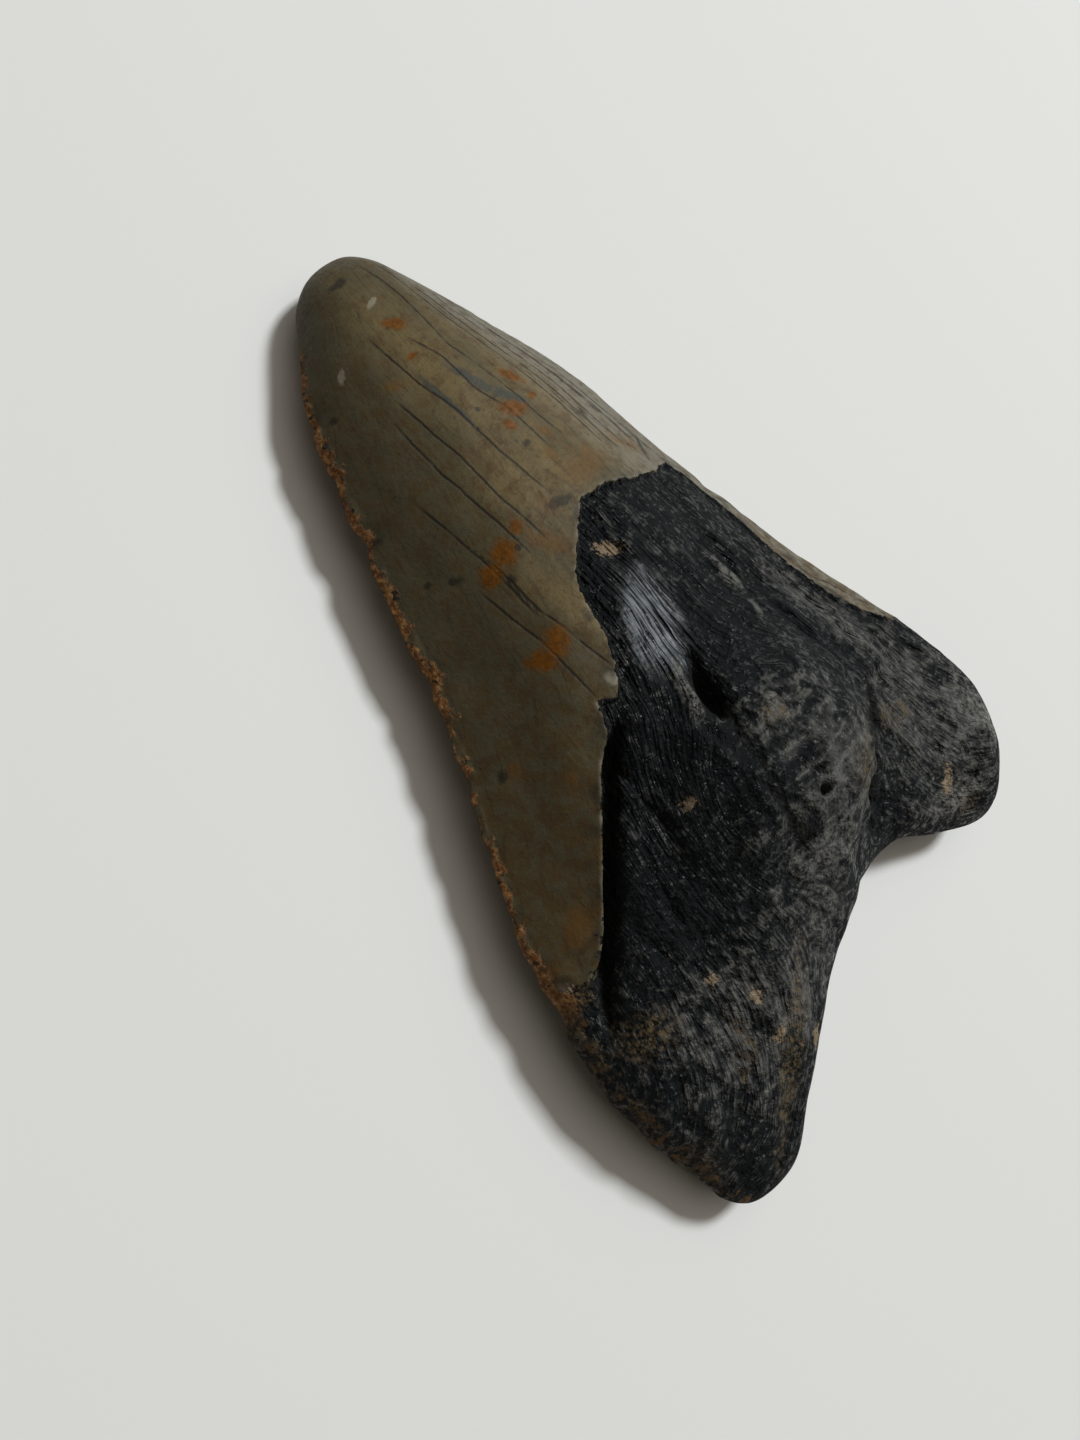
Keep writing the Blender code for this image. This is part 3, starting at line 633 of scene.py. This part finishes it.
def crust_relief(u, across, down):
    """The crusty band along the left cutting edge."""
    from_edge = (u + 1.0) * 0.5 * (TIP_WIDTH + WIDTH_GROWS * down)
    width = crust_width(down)
    falls = smooth_step(from_edge, CRUST_FALLS_FROM * width, width)
    band = smooth_step(from_edge, 0.0, CRUST_RISE) * (1.0 - falls)
    uneven = 0.5 + rough(across, down, *CRUST_GRAIN)
    sinks = smooth_step(down, *CRUST_SINKS)
    return CRUST_HEIGHT * band * uneven * smooth_step(down, *CRUST_SWELLS) * (1.0 - sinks)


def soft_floor(height):
    """The height, cut off at 0 with a soft bend."""
    bend = (height + REST_EASE) ** 2 / (4.0 * REST_EASE)
    return np.where(height > REST_EASE, height, np.where(height > -REST_EASE, bend, 0.0))


def labial_face(u, v):
    across, down, edge = edge_surface(u, v)
    opening = 1.0 - np.clip(1.0 - v / LABIAL_OPENS, 0.0, 1.0) ** 2
    flat = LABIAL_FLAT * opening
    k = np.clip((np.abs(u) - flat) / (1.0 - flat), 0.0, 1.0)
    root = smooth_step(v, ROOT_STARTS, ROOT_WHOLE)
    slab = arched(k, BASE_FULLNESS) * base_arch(v)
    depth = (1.0 - k ** LABIAL_BEVEL) * (1.0 - root) + slab * root
    gap = past_arch(across, down)
    step = LABIAL_STEP * smooth_step(gap, 0.0, LABIAL_STEP_WIDTH)
    step *= np.exp(-np.clip(gap, 0.0, None) / LABIAL_STEP_REACH)
    middle = through(LABIAL_CREST, v) + step + LABIAL_LUMPS * lumps(across, down, LABIAL_SEED)
    return across, down, soft_floor(edge + (middle - edge) * depth)


def net_shares():
    """u and v of the net's lines, gathered at the edges, the tip, the lobes' ends and the foramen."""
    w = np.linspace(-1.0, 1.0, LINES_DOWN)
    u = EDGE_GATHER * np.sin(np.pi * w / 2.0) + (1.0 - EDGE_GATHER) * w
    v = np.linspace(0.0, 1.0, LINES_ACROSS)
    at_end = v > 1.0 - END_SHARE
    from_start = (v[at_end] - 1.0 + END_SHARE) / END_SHARE
    v[at_end] = 1.0 - END_SHARE + END_SHARE * np.sin(from_start * np.pi / 2.0)
    at_tip = v < TIP_SHARE
    v[at_tip] = TIP_SHARE * (1.0 - np.cos(v[at_tip] / TIP_SHARE * np.pi / 2.0))
    u, v = np.meshgrid(u, v)
    from_u, from_v = u - FORAMEN_SHARES[0], v - FORAMEN_SHARES[1]
    reach_u, reach_v = FORAMEN_GATHER_REACH
    pull = FORAMEN_GATHER * np.exp(-(from_u / reach_u) ** 2 - (from_v / reach_v) ** 2)
    return u - pull * from_u, v - pull * from_v


def drawn_to_margin(u, v):
    """The net with the points that are nearest to the enamel's border moved onto it."""
    across, down, _ = edge_surface(u, v)
    gap = past_margin(across, down)
    by_row, by_column = np.gradient(gap)
    steepness = by_row ** 2 + by_column ** 2
    rows, columns = -gap * by_row / steepness, -gap * by_column / steepness
    near = np.hypot(rows, columns) < SNAP_REACH
    near[[0, -1], :] = False
    near[:, [0, -1]] = False
    u_by_row, u_by_column = np.gradient(u)
    v_by_row, v_by_column = np.gradient(v)
    u = u + near * (rows * u_by_row + columns * u_by_column)
    v = v + near * (rows * v_by_row + columns * v_by_column)
    return u, v


def top_faces(top):
    """Quads of the lingual face."""
    corners = [top[:-1, :-1], top[1:, :-1], top[1:, 1:], top[:-1, 1:]]
    return np.stack([c.ravel() for c in corners], axis=-1).tolist()


def bottom_faces(border, inner):
    """Faces of the labial face, twice as wide as those above, that meet every point of the border."""
    rows, columns = border.shape
    faces = []
    for i in range(0, rows - 1, 2):
        for j in range(0, columns - 1, 2):
            ring = [(i, j), (i, j + 1), (i, j + 2), (i + 1, j + 2), (i + 2, j + 2), (i + 2, j + 1),
                    (i + 2, j), (i + 1, j)]
            face = []
            for a, b in ring:
                on_border = a in (0, rows - 1) or b in (0, columns - 1)
                if on_border:
                    face.append(int(border[a, b]))
                elif a % 2 == 0 and b % 2 == 0:
                    face.append(int(inner[a // 2 - 1, b // 2 - 1]))
            faces.append(face)
    return faces


def surface_net():
    """Points of both faces, their faces, and each point's share across and place on its face."""
    u, v = net_shares()
    upper_u, upper_v = drawn_to_margin(u, v)
    upper = np.stack(lingual_face(upper_u, upper_v), axis=-1)
    lower_u, lower_v = u[2:-1:2, 2:-1:2], v[2:-1:2, 2:-1:2]
    lower = np.stack(labial_face(lower_u, lower_v), axis=-1)
    rows, columns = u.shape
    top = np.arange(rows * columns).reshape(rows, columns)
    inner = np.arange(lower_u.size).reshape(lower_u.shape) + rows * columns
    points = np.concatenate([upper.reshape(-1, 3), lower.reshape(-1, 3)])
    shares = np.stack([np.concatenate([upper_u.ravel(), lower_u.ravel()]),
                       np.concatenate([upper_v.ravel(), lower_v.ravel()])], axis=-1)
    is_labial = np.arange(len(points)) >= rows * columns
    return points, shares, is_labial, top_faces(top) + bottom_faces(top, inner)


def stain_field(across, down, marks):
    """1 in the middle of the nearest mark, 0 at its border, less outside."""
    field = np.full(across.shape, -1.0)
    for x, y, half_length, half_width, turn in marks:
        c, s = cos(radians(turn)), sin(radians(turn))
        length = ((across - x) * c + (down - y) * s) / half_length
        width = ((down - y) * c - (across - x) * s) / half_width
        field = np.maximum(field, 1.0 - np.hypot(length, width))
    return field


def extended(line, reach=40.0):
    """A line whose ends run on straight."""
    points = [Vector(p) for p in line]
    first = points[0] + (points[0] - points[1]).normalized() * reach
    last = points[-1] + (points[-1] - points[-2]).normalized() * reach
    return [tuple(first)] + list(line) + [tuple(last)]


def crack_fields(across, down):
    """Distance to the nearest crack, with its sign changing at cracks only, and 1 where there is one."""
    nearest = np.full(across.shape, np.inf)
    signed = np.zeros(across.shape)
    here = np.zeros(across.shape)
    size, width, seed = CRACK_WANDER
    wander = width * rough(across * CRACK_WANDER_ACROSS, down, size, seed)
    for number, line in enumerate(CRACKS):
        gap = distance_to_line(across, down, extended(line)) + wander
        closer = np.abs(gap) < nearest
        begun = smooth_step(down - line[0][1], *CRACK_STARTS)
        lasts = begun * (1.0 - smooth_step(down - line[-1][1], *CRACK_ENDS))
        nearest = np.where(closer, np.abs(gap), nearest)
        signed = np.where(closer, gap if number % 2 else -gap, signed)
        here = np.where(closer, lasts, here)
    return signed, here


def fibre_lines(across, down):
    """Coordinates across and along the root's fibres, which part round the boss and turn into the lobes."""
    x, y = across - BOSS[0], down - BOSS[1]
    ratio = np.minimum((FIBRES_PART * BOSS[2]) ** 2 / (x * x + y * y + TINY), 1.0)
    base_across, base_down, _ = zip(*BASE_KNOTS[::-1])
    base = np.interp(across, base_across, base_down)
    above = np.clip(base - down, 0.0, None)
    straight = above / (above + FIBRES_TURN_FROM)
    beside = FIBRES_CROWD * x * (1.0 - ratio) * straight
    return beside, y * (1.0 + ratio) + FIBRES_SLANT * np.abs(x) * (1.0 - straight)


def surface_fields(points, shares, is_labial):
    """What the material needs to know of each point."""
    across, down = points[:, 0], points[:, 1]
    u, v = shares[:, 0], shares[:, 1]
    lingual = ~is_labial
    crack, crack_here = crack_fields(across, down)
    grain, run = fibre_lines(across, down)
    fields = {
        "past_enamel": np.where(is_labial, past_arch(across, down), past_margin(across, down)),
        "crust": crust_width(down) - from_left_edge(u, v, across),
        "crack": crack,
        "crack_here": crack_here * lingual,
        "polished": mound(across, down, POLISHED, POLISHED_TURN, POLISHED_ROUNDNESS) * lingual,
        # Where the painted shade goes: along the trench, and in the gouge, the crevice, the creases and the
        # furrows
        "trench": trench_share(across, down) * lingual,
        "gouge": hollow_shade_share(across, down) * lingual,
        "grain": grain,
        "run": run,
        "u": u,
        "down": down,
    }
    for name, marks in STAINS.items():
        fields[name] = np.where(lingual, stain_field(across, down, marks), -1.0)
    return fields


def in_frame(points):
    """Tooth places in mm as points of the shared frame, which has its origin at the box's bottom centre."""
    coarse = edge_surface(*net_shares(), worn=False)
    low = np.array([coarse[0].min(), -coarse[1].max()])
    high = np.array([coarse[0].max(), -coarse[1].min()])
    placed = points * [1.0, -1.0, 1.0]
    placed[:, :2] -= (low + high) / 2.0
    return placed * MM


def in_scene(name, data):
    """A new object of the scene."""
    thing = bpy.data.objects.new(name, data)
    bpy.context.scene.collection.objects.link(thing)
    return thing


def tooth_piece():
    points, shares, is_labial, faces = surface_net()
    mesh = bpy.data.meshes.new("tooth_surface")
    mesh.from_pydata(in_frame(points).tolist(), [], faces)
    for name, values in surface_fields(points, shares, is_labial).items():
        mesh.attributes.new(name, "FLOAT", "POINT").data.foreach_set("value", values.astype(np.float32))
    mesh.materials.append(tooth_material())
    mesh.shade_smooth()
    mesh.update()
    return in_scene("tooth_surface", mesh)


class Graph:
    """A material's nodes, added one expression at a time."""

    def __init__(self, material):
        material.use_nodes = True
        self.tree = material.node_tree
        self.shader = self.tree.nodes["Principled BSDF"]
        self.put(self.shader.inputs["Specular IOR Level"], SPECULAR)

    def put(self, socket, value):
        if isinstance(value, bpy.types.NodeSocket):
            self.tree.links.new(value, socket)
        else:
            socket.default_value = value

    def added(self, kind, inputs, output, **settings):
        """The output of a new node."""
        node = self.tree.nodes.new(kind)
        for name, value in settings.items():
            setattr(node, name, value)
        for socket, value in inputs.items():
            self.put(node.inputs[socket], value)
        return node.outputs[output]

    def field(self, name):
        """What surface_fields says of each point."""
        return self.added("ShaderNodeAttribute", {}, "Fac", attribute_name=name)

    def place(self):
        """The place on the tooth in mm."""
        return self.scaled(self.added("ShaderNodeTexCoord", {}, "Object"), (1.0 / MM, 1.0 / MM, 1.0 / MM))

    def scaled(self, vector, factors):
        return self.added("ShaderNodeVectorMath", {0: vector, 1: factors}, 0, operation="MULTIPLY")

    def vector(self, x, y):
        return self.added("ShaderNodeCombineXYZ", {0: x, 1: y}, 0)

    def noise(self, vector, scale, detail, roughness=0.55):
        inputs = {"Vector": vector, "Scale": scale, "Detail": detail, "Roughness": roughness}
        return self.added("ShaderNodeTexNoise", inputs, "Fac")

    def cell_borders(self, vector):
        """Distance from the borders of uneven cells about 1 across."""
        inputs = {"Vector": vector, "Scale": 1.0}
        return self.added("ShaderNodeTexVoronoi", inputs, "Distance", feature="DISTANCE_TO_EDGE")

    def maths(self, operation, a, b=0.0):
        return self.added("ShaderNodeMath", {0: a, 1: b}, 0, operation=operation)

    def plus(self, a, b):
        return self.maths("ADD", a, b)

    def times(self, a, b):
        return self.maths("MULTIPLY", a, b)

    def larger(self, a, b):
        return self.maths("MAXIMUM", a, b)

    def rise(self, value, low, high):
        """0 below low, 1 above high, smooth between; falls instead where low is above high."""
        inputs = {"Value": value, "From Min": min(low, high), "From Max": max(low, high),
                  "To Min": 0.0 if low < high else 1.0, "To Max": 1.0 if low < high else 0.0}
        return self.added("ShaderNodeMapRange", inputs, "Result", interpolation_type="SMOOTHSTEP")

    def swing(self, noise, amount):
        """A noise about 0, between half the amount below it and above."""
        return self.times(self.plus(noise, -0.5), amount)

    def ragged(self, field, noise, amount, softness):
        """1 where a field is above 0, with a border roughened by noise."""
        return self.rise(self.plus(field, self.swing(noise, amount)), -softness, softness)

    def ridges(self, noise):
        """1 on sharp crests where a noise passes its middle value, less beside them."""
        off_middle = self.maths("ABSOLUTE", self.plus(noise, -0.5))
        return self.plus(1.0, self.times(off_middle, -2.0))

    def colours(self, factor, a, b):
        return self.added("ShaderNodeMix", {0: factor, 6: a, 7: b}, 2, data_type="RGBA")

    def painted(self, colour, where, share, paint):
        """A colour with a share of paint over it where a field is 1."""
        return self.colours(self.times(where, share), colour, paint)

    def values(self, factor, a, b):
        return self.added("ShaderNodeMix", {0: factor, 2: a, 3: b}, 0)

    def finish(self, colour, roughness, height):
        """height is in mm."""
        bump = self.added("ShaderNodeBump", {"Distance": MM, "Height": height}, "Normal")
        self.put(self.shader.inputs["Normal"], bump)
        self.put(self.shader.inputs["Base Color"], colour)
        self.put(self.shader.inputs["Roughness"], roughness)


def enamel(g, place, fine):
    """Colour, roughness and height of the enamel."""
    u, down = g.field("u"), g.field("down")
    across_often, down_often = STREAKS_STRETCH
    stretched = g.vector(g.times(u, across_often), g.times(down, down_often))
    lengthwise = g.noise(stretched, *ENAMEL_STREAKS)
    tone = g.plus(g.field("pale_enamel"), g.swing(g.noise(place, *ENAMEL_CLOUDS), 1.6))
    tone = g.plus(tone, g.swing(lengthwise, 2.2))
    tone = g.plus(tone, g.times(g.rise(down, *ENAMEL_DARKENS), -0.5))
    colour = g.colours(g.rise(tone, -1.1, 1.0), ENAMEL_DARK, ENAMEL_PALE)
    # The right flank is paler: partly its own tone, partly painted light where it faces the window
    right_flank = g.rise(u, *RIGHT_FLANK)
    colour = g.painted(colour, right_flank, 0.7, FLANK_LIT_GREY)
    towards_root = g.rise(down, *ENAMEL_BROWNS)
    brown = g.rise(g.plus(g.noise(place, *BROWN_CLOUDS), g.times(towards_root, 0.07)), 0.46, 0.64)
    colour = g.painted(colour, brown, g.values(towards_root, 0.6, 0.8), ENAMEL_BROWN)
    colour = g.painted(colour, g.rise(fine, 0.55, 0.75), 0.5, CRACK_DARK)
    colour = g.painted(colour, g.rise(fine, 0.46, 0.3), 0.25, ENAMEL_PALE)
    tear = g.noise(place, *STAIN_TEAR)
    colour = g.painted(colour, g.ragged(g.field("tan_enamel"), tear, 3.0, 0.7), 0.55, TAN_STAIN)
    colour = g.painted(colour, g.ragged(g.field("blue_streak"), tear, 2.0, 0.4), 0.85, STREAK_BLUE)
    crack = long_cracks(g, place)
    fine_crack = g.times(fine_cracks(g, place), g.values(right_flank, 0.3, 0.8))
    colour = g.colours(g.larger(g.times(crack, 0.85), fine_crack), colour, CRACK_DARK)
    orange = g.colours(g.rise(fine, 0.35, 0.7), ORANGE_STAIN, ORANGE_DEEP)
    colour = g.colours(g.ragged(g.field("orange"), tear, 2.0, 0.5), colour, orange)
    colour = g.painted(colour, g.ragged(g.field("dark_mark"), tear, 2.4, 0.5), 0.75, CRACK_DARK)
    colour = g.painted(colour, g.ragged(g.field("pale_mark"), fine, 1.6, 0.3), 0.55, ENAMEL_RIM)
    roughness = g.values(g.rise(fine, 0.3, 0.7), 0.5, 0.7)
    height = g.plus(g.times(fine, 0.12), g.times(crack, -0.05))
    return colour, roughness, g.plus(height, g.times(lengthwise, 0.05))


def long_cracks(g, place):
    """1 in the long cracks, which come and go along their run."""
    jitter = g.swing(g.noise(place, *CRACK_JITTER), 0.2)
    off_crack = g.maths("ABSOLUTE", g.plus(g.field("crack"), jitter))
    crack = g.times(g.rise(off_crack, 0.26, 0.07), g.field("crack_here"))
    return g.times(crack, g.values(g.rise(g.noise(place, *CRACK_DEPTH), 0.3, 0.5), 0.35, 1.0))


def fine_cracks(g, place):
    """1 in the fine cracks between the long ones."""
    across_often, down_often = FINE_CRACKS_STRETCH
    bent = g.plus(g.times(g.field("u"), across_often), g.times(g.noise(place, *CRACK_BEND), 0.6))
    net = g.cell_borders(g.vector(bent, g.times(g.field("down"), down_often)))
    return g.times(g.rise(net, 0.035, 0.008), g.rise(g.noise(place, *CRACK_PATCHES), 0.4, 0.6))


def crust(g, place, colour, roughness, height):
    """The sandy crust along the left cutting edge, laid over the enamel and the root."""
    tear = g.noise(place, *CRUST_TEAR)
    blotches = g.noise(place, *CRUST_BLOTCHES)
    gaps = g.times(g.rise(g.noise(place, *CRUST_GAPS), 0.55, 0.42), 0.7)
    band = g.ragged(g.plus(g.field("crust"), g.times(gaps, -1.0)), tear, 4.5, 0.3)
    band = g.times(band, g.rise(g.field("down"), *CRUST_STARTS))
    past_enamel = g.rise(g.field("down"), *CRUST_ON_ROOT)
    shade = g.colours(g.rise(blotches, 0.4, 0.62), CRUST_RUST, CRUST_SAND)
    shade = g.colours(g.rise(g.noise(place, *CRUST_HOLES), 0.56, 0.66), shade, CRACK_DARK)
    shade = g.painted(shade, past_enamel, 0.8, ENAMEL_BROWN)
    bare = g.times(past_enamel, g.rise(tear, 0.60, 0.52))
    band = g.times(band, g.plus(1.0, g.times(bare, -0.95)))
    colour = g.colours(band, colour, shade)
    return colour, g.values(band, roughness, 0.8), g.plus(height, g.times(band, g.times(blotches, 0.5)))


def root(g, place, fine):
    """Colour, roughness and height of the root."""
    fibres = g.vector(g.field("grain"), g.field("run"))
    strands = g.ridges(g.noise(g.scaled(fibres, STRANDS_STRETCH), *STRANDS))
    fine_strands = g.ridges(g.noise(g.scaled(fibres, FINE_STRANDS_STRETCH), *STRANDS))
    grains = g.noise(place, *ROOT_GRAINS)
    clouds = g.noise(place, *ROOT_CLOUDS)
    tear = g.noise(place, *ROOT_TEAR)
    polished = g.field("polished")
    # Grey patches: the root's own grey, and on the boss partly painted light on its lit face
    grey = g.ragged(g.field("grey_root"), tear, 2.4, 0.8)
    calm = g.ragged(g.field("dark_root"), tear, 1.6, 0.8)
    lively = g.plus(1.0, g.times(calm, -0.75))
    tone = g.plus(g.times(grey, 0.6), g.swing(clouds, 0.9))
    tone = g.plus(tone, g.times(calm, -0.45))
    tone = g.plus(tone, g.swing(grains, 1.8))
    tone = g.plus(tone, g.times(g.plus(fine_strands, -0.88), 1.4))
    colour = g.colours(g.rise(tone, 0.05, 0.95), ROOT_BLACK, ROOT_GREY)
    pale_grain = g.rise(g.plus(grains, g.times(grey, 0.06)), 0.48, 0.62)
    pale_strand = g.times(g.rise(fine_strands, 0.9, 0.99), pale_grain)
    pale_share = g.times(lively, g.values(polished, g.values(grey, 0.22, 0.34), 0.1))
    colour = g.painted(colour, pale_strand, pale_share, ROOT_PALE)
    # Painted highlight: pale bluish streaks on the polished part stand in for the window's reflection,
    # partly a patina
    worn = g.rise(g.plus(polished, g.swing(tear, 1.2)), 0.35, 1.05)
    painted_sheen = g.times(worn, g.rise(g.plus(fine_strands, g.times(clouds, 0.1)), 0.86, 1.03))
    colour = g.painted(colour, painted_sheen, 0.75, PAINTED_SHEEN_BLUE)
    # Pale specks: partly the root's own speckle, partly painted glints of the window
    specks_and_glints = g.times(g.rise(fine, 0.58, 0.67), g.times(lively, g.values(grey, 0.35, 0.5)))
    colour = g.painted(colour, specks_and_glints, g.values(polished, 1.0, 0.2), ROOT_PALE)
    colour = root_marks(g, place, fine, tear, colour)
    upper = g.rise(g.field("down"), *UPPER_ROOT)
    near_border = g.times(g.rise(g.field("past_enamel"), *BORDER_REACH), upper)
    glossy = g.larger(g.rise(polished, 0.2, 0.7), g.rise(g.noise(place, *GLINTS), 0.56, 0.62))
    fibrous = g.values(g.rise(g.field("down"), *FIBRES_FADE), 0.9, 0.35)
    height = g.times(g.plus(strands, g.times(fine_strands, 0.45)), fibrous)
    grain_height = g.values(polished, g.plus(g.values(grey, 1.3, 1.6), g.times(near_border, 0.8)), 0.3)
    return colour, g.values(glossy, 0.9, 0.36), g.plus(height, g.times(grains, grain_height))


def root_marks(g, place, fine, tear, colour):
    """The root's colour with its tan, pale and cream marks, and painted shade in the trench, the gouge, the
    crevice, the creases and the furrows.
    """
    tan = g.ragged(g.field("tan_root"), tear, 3.0, 0.6)
    colour = g.painted(colour, tan, g.rise(fine, 0.42, 0.62), ROOT_TAN)
    pale = g.times(g.ragged(g.field("pale_root"), tear, 2.2, 0.5), 0.6)
    colour = g.painted(colour, pale, g.rise(fine, 0.38, 0.54), ROOT_PALE)
    cream = g.ragged(g.field("cream_root"), g.noise(place, *CREAM_TEAR), 4.5, 0.25)
    colour = g.painted(colour, cream, 0.75, ROOT_CREAM)
    # Painted shade in the trench, the gouge, the crevice, the creases and the furrows
    hollow_shade = g.larger(g.field("trench"), g.field("gouge"))
    hollow_shade = g.plus(hollow_shade, g.swing(g.noise(place, *HOLLOW_TEAR), 0.9))
    return g.painted(colour, g.rise(hollow_shade, 0.4, 0.7), 0.9, HOLLOW_SHADE)


def tooth_material():
    material = bpy.data.materials.new("fossil_tooth")
    g = Graph(material)
    place = g.place()
    fine = g.noise(place, *FINE)
    border = g.field("past_enamel")
    torn = g.values(g.rise(g.field("down"), *BORDER_TORN), 1.6, 9.0)
    is_root = g.ragged(border, g.noise(place, *BORDER_TEAR), torn, 0.1)
    enamel_colour, enamel_roughness, enamel_height = enamel(g, place, fine)
    root_colour, root_roughness, root_height = root(g, place, fine)
    rim = g.times(g.rise(border, -0.8, -0.1), g.rise(g.noise(place, *RIM_PATCHES), 0.45, 0.65))
    enamel_colour = g.painted(enamel_colour, rim, 0.35, ENAMEL_RIM)
    dirt = g.times(g.rise(border, -3.0, -0.3), g.rise(g.noise(place, *DIRT_PATCHES), 0.48, 0.66))
    enamel_colour = g.painted(enamel_colour, dirt, 0.6, CRACK_DARK)
    colour = g.colours(is_root, enamel_colour, root_colour)
    roughness = g.values(is_root, enamel_roughness, root_roughness)
    height = g.values(is_root, enamel_height, root_height)
    g.finish(*crust(g, place, colour, roughness, height))
    return material


def floor_piece():
    mesh = bpy.data.meshes.new("floor")
    corners = [(-FLOOR_HALF, -FLOOR_HALF, 0.0), (FLOOR_HALF, -FLOOR_HALF, 0.0),
               (FLOOR_HALF, FLOOR_HALF, 0.0), (-FLOOR_HALF, FLOOR_HALF, 0.0)]
    mesh.from_pydata(corners, [], [(0, 1, 2, 3)])
    material = bpy.data.materials.new("pale_floor")
    g = Graph(material)
    g.put(g.shader.inputs["Base Color"], FLOOR_COLOUR)
    g.put(g.shader.inputs["Roughness"], FLOOR_ROUGHNESS)
    mesh.materials.append(material)
    return in_scene("floor", mesh)


def photo_direction(bearing, height):
    """A direction by its bearing, from the photo's right to its top, and its height over the floor."""
    turned, height = radians(bearing - PHOTO_TURN), radians(height)
    return Vector((cos(turned) * cos(height), sin(turned) * cos(height), sin(height)))


def add_camera():
    data = bpy.data.cameras.new("camera")
    data.lens = LENS
    data.sensor_width = SENSOR
    data.clip_start = CLIP_START
    camera = in_scene("camera", data)
    level = Quaternion((0.0, 0.0, 1.0), radians(-PHOTO_TURN)).to_matrix()
    towards = photo_direction(CAMERA_BEARING, 0.0)
    lean = Quaternion(Vector((0.0, 0.0, 1.0)).cross(towards), radians(CAMERA_LEAN)).to_matrix()
    turned = lean @ level
    place = (Vector(AIM) + DISTANCE * turned.col[2]) * MM
    camera.matrix_world = Matrix.Translation(place) @ turned.to_4x4()
    bpy.context.scene.camera = camera


def add_light(name, height, size, power, colour):
    """A square light that faces the tooth from the window's side."""
    data = bpy.data.lights.new(name, "AREA")
    data.size = size * MM
    data.energy = power
    data.color = colour
    light = in_scene(name, data)
    towards = photo_direction(KEY_BEARING, height)
    light.location = towards * KEY_DISTANCE * MM
    light.rotation_euler = towards.to_track_quat("Z", "Y").to_euler()


def add_room():
    """Both lights, and the faint light of the room."""
    add_light("window", KEY_HEIGHT, KEY_SIZE, KEY_POWER, KEY_COLOUR)
    add_light("bright_wall", SOFT_HEIGHT, SOFT_SIZE, SOFT_POWER, SOFT_COLOUR)
    world = bpy.data.worlds.new("room")
    world.use_nodes = True
    sky = world.node_tree.nodes["Background"]
    sky.inputs["Color"].default_value = WORLD_COLOUR
    sky.inputs["Strength"].default_value = WORLD_LIGHT
    bpy.context.scene.world = world
    bpy.context.scene.view_settings.view_transform = "Standard"


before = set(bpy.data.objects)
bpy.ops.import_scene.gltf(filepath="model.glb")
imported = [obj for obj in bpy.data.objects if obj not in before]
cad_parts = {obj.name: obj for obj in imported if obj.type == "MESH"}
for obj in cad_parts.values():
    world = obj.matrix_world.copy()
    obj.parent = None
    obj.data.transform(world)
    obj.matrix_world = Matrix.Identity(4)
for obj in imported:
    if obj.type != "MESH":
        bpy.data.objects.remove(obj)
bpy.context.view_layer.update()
tooth = tooth_piece()
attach(tooth, "root")
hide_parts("tooth")
floor_piece()
add_camera()
add_room()
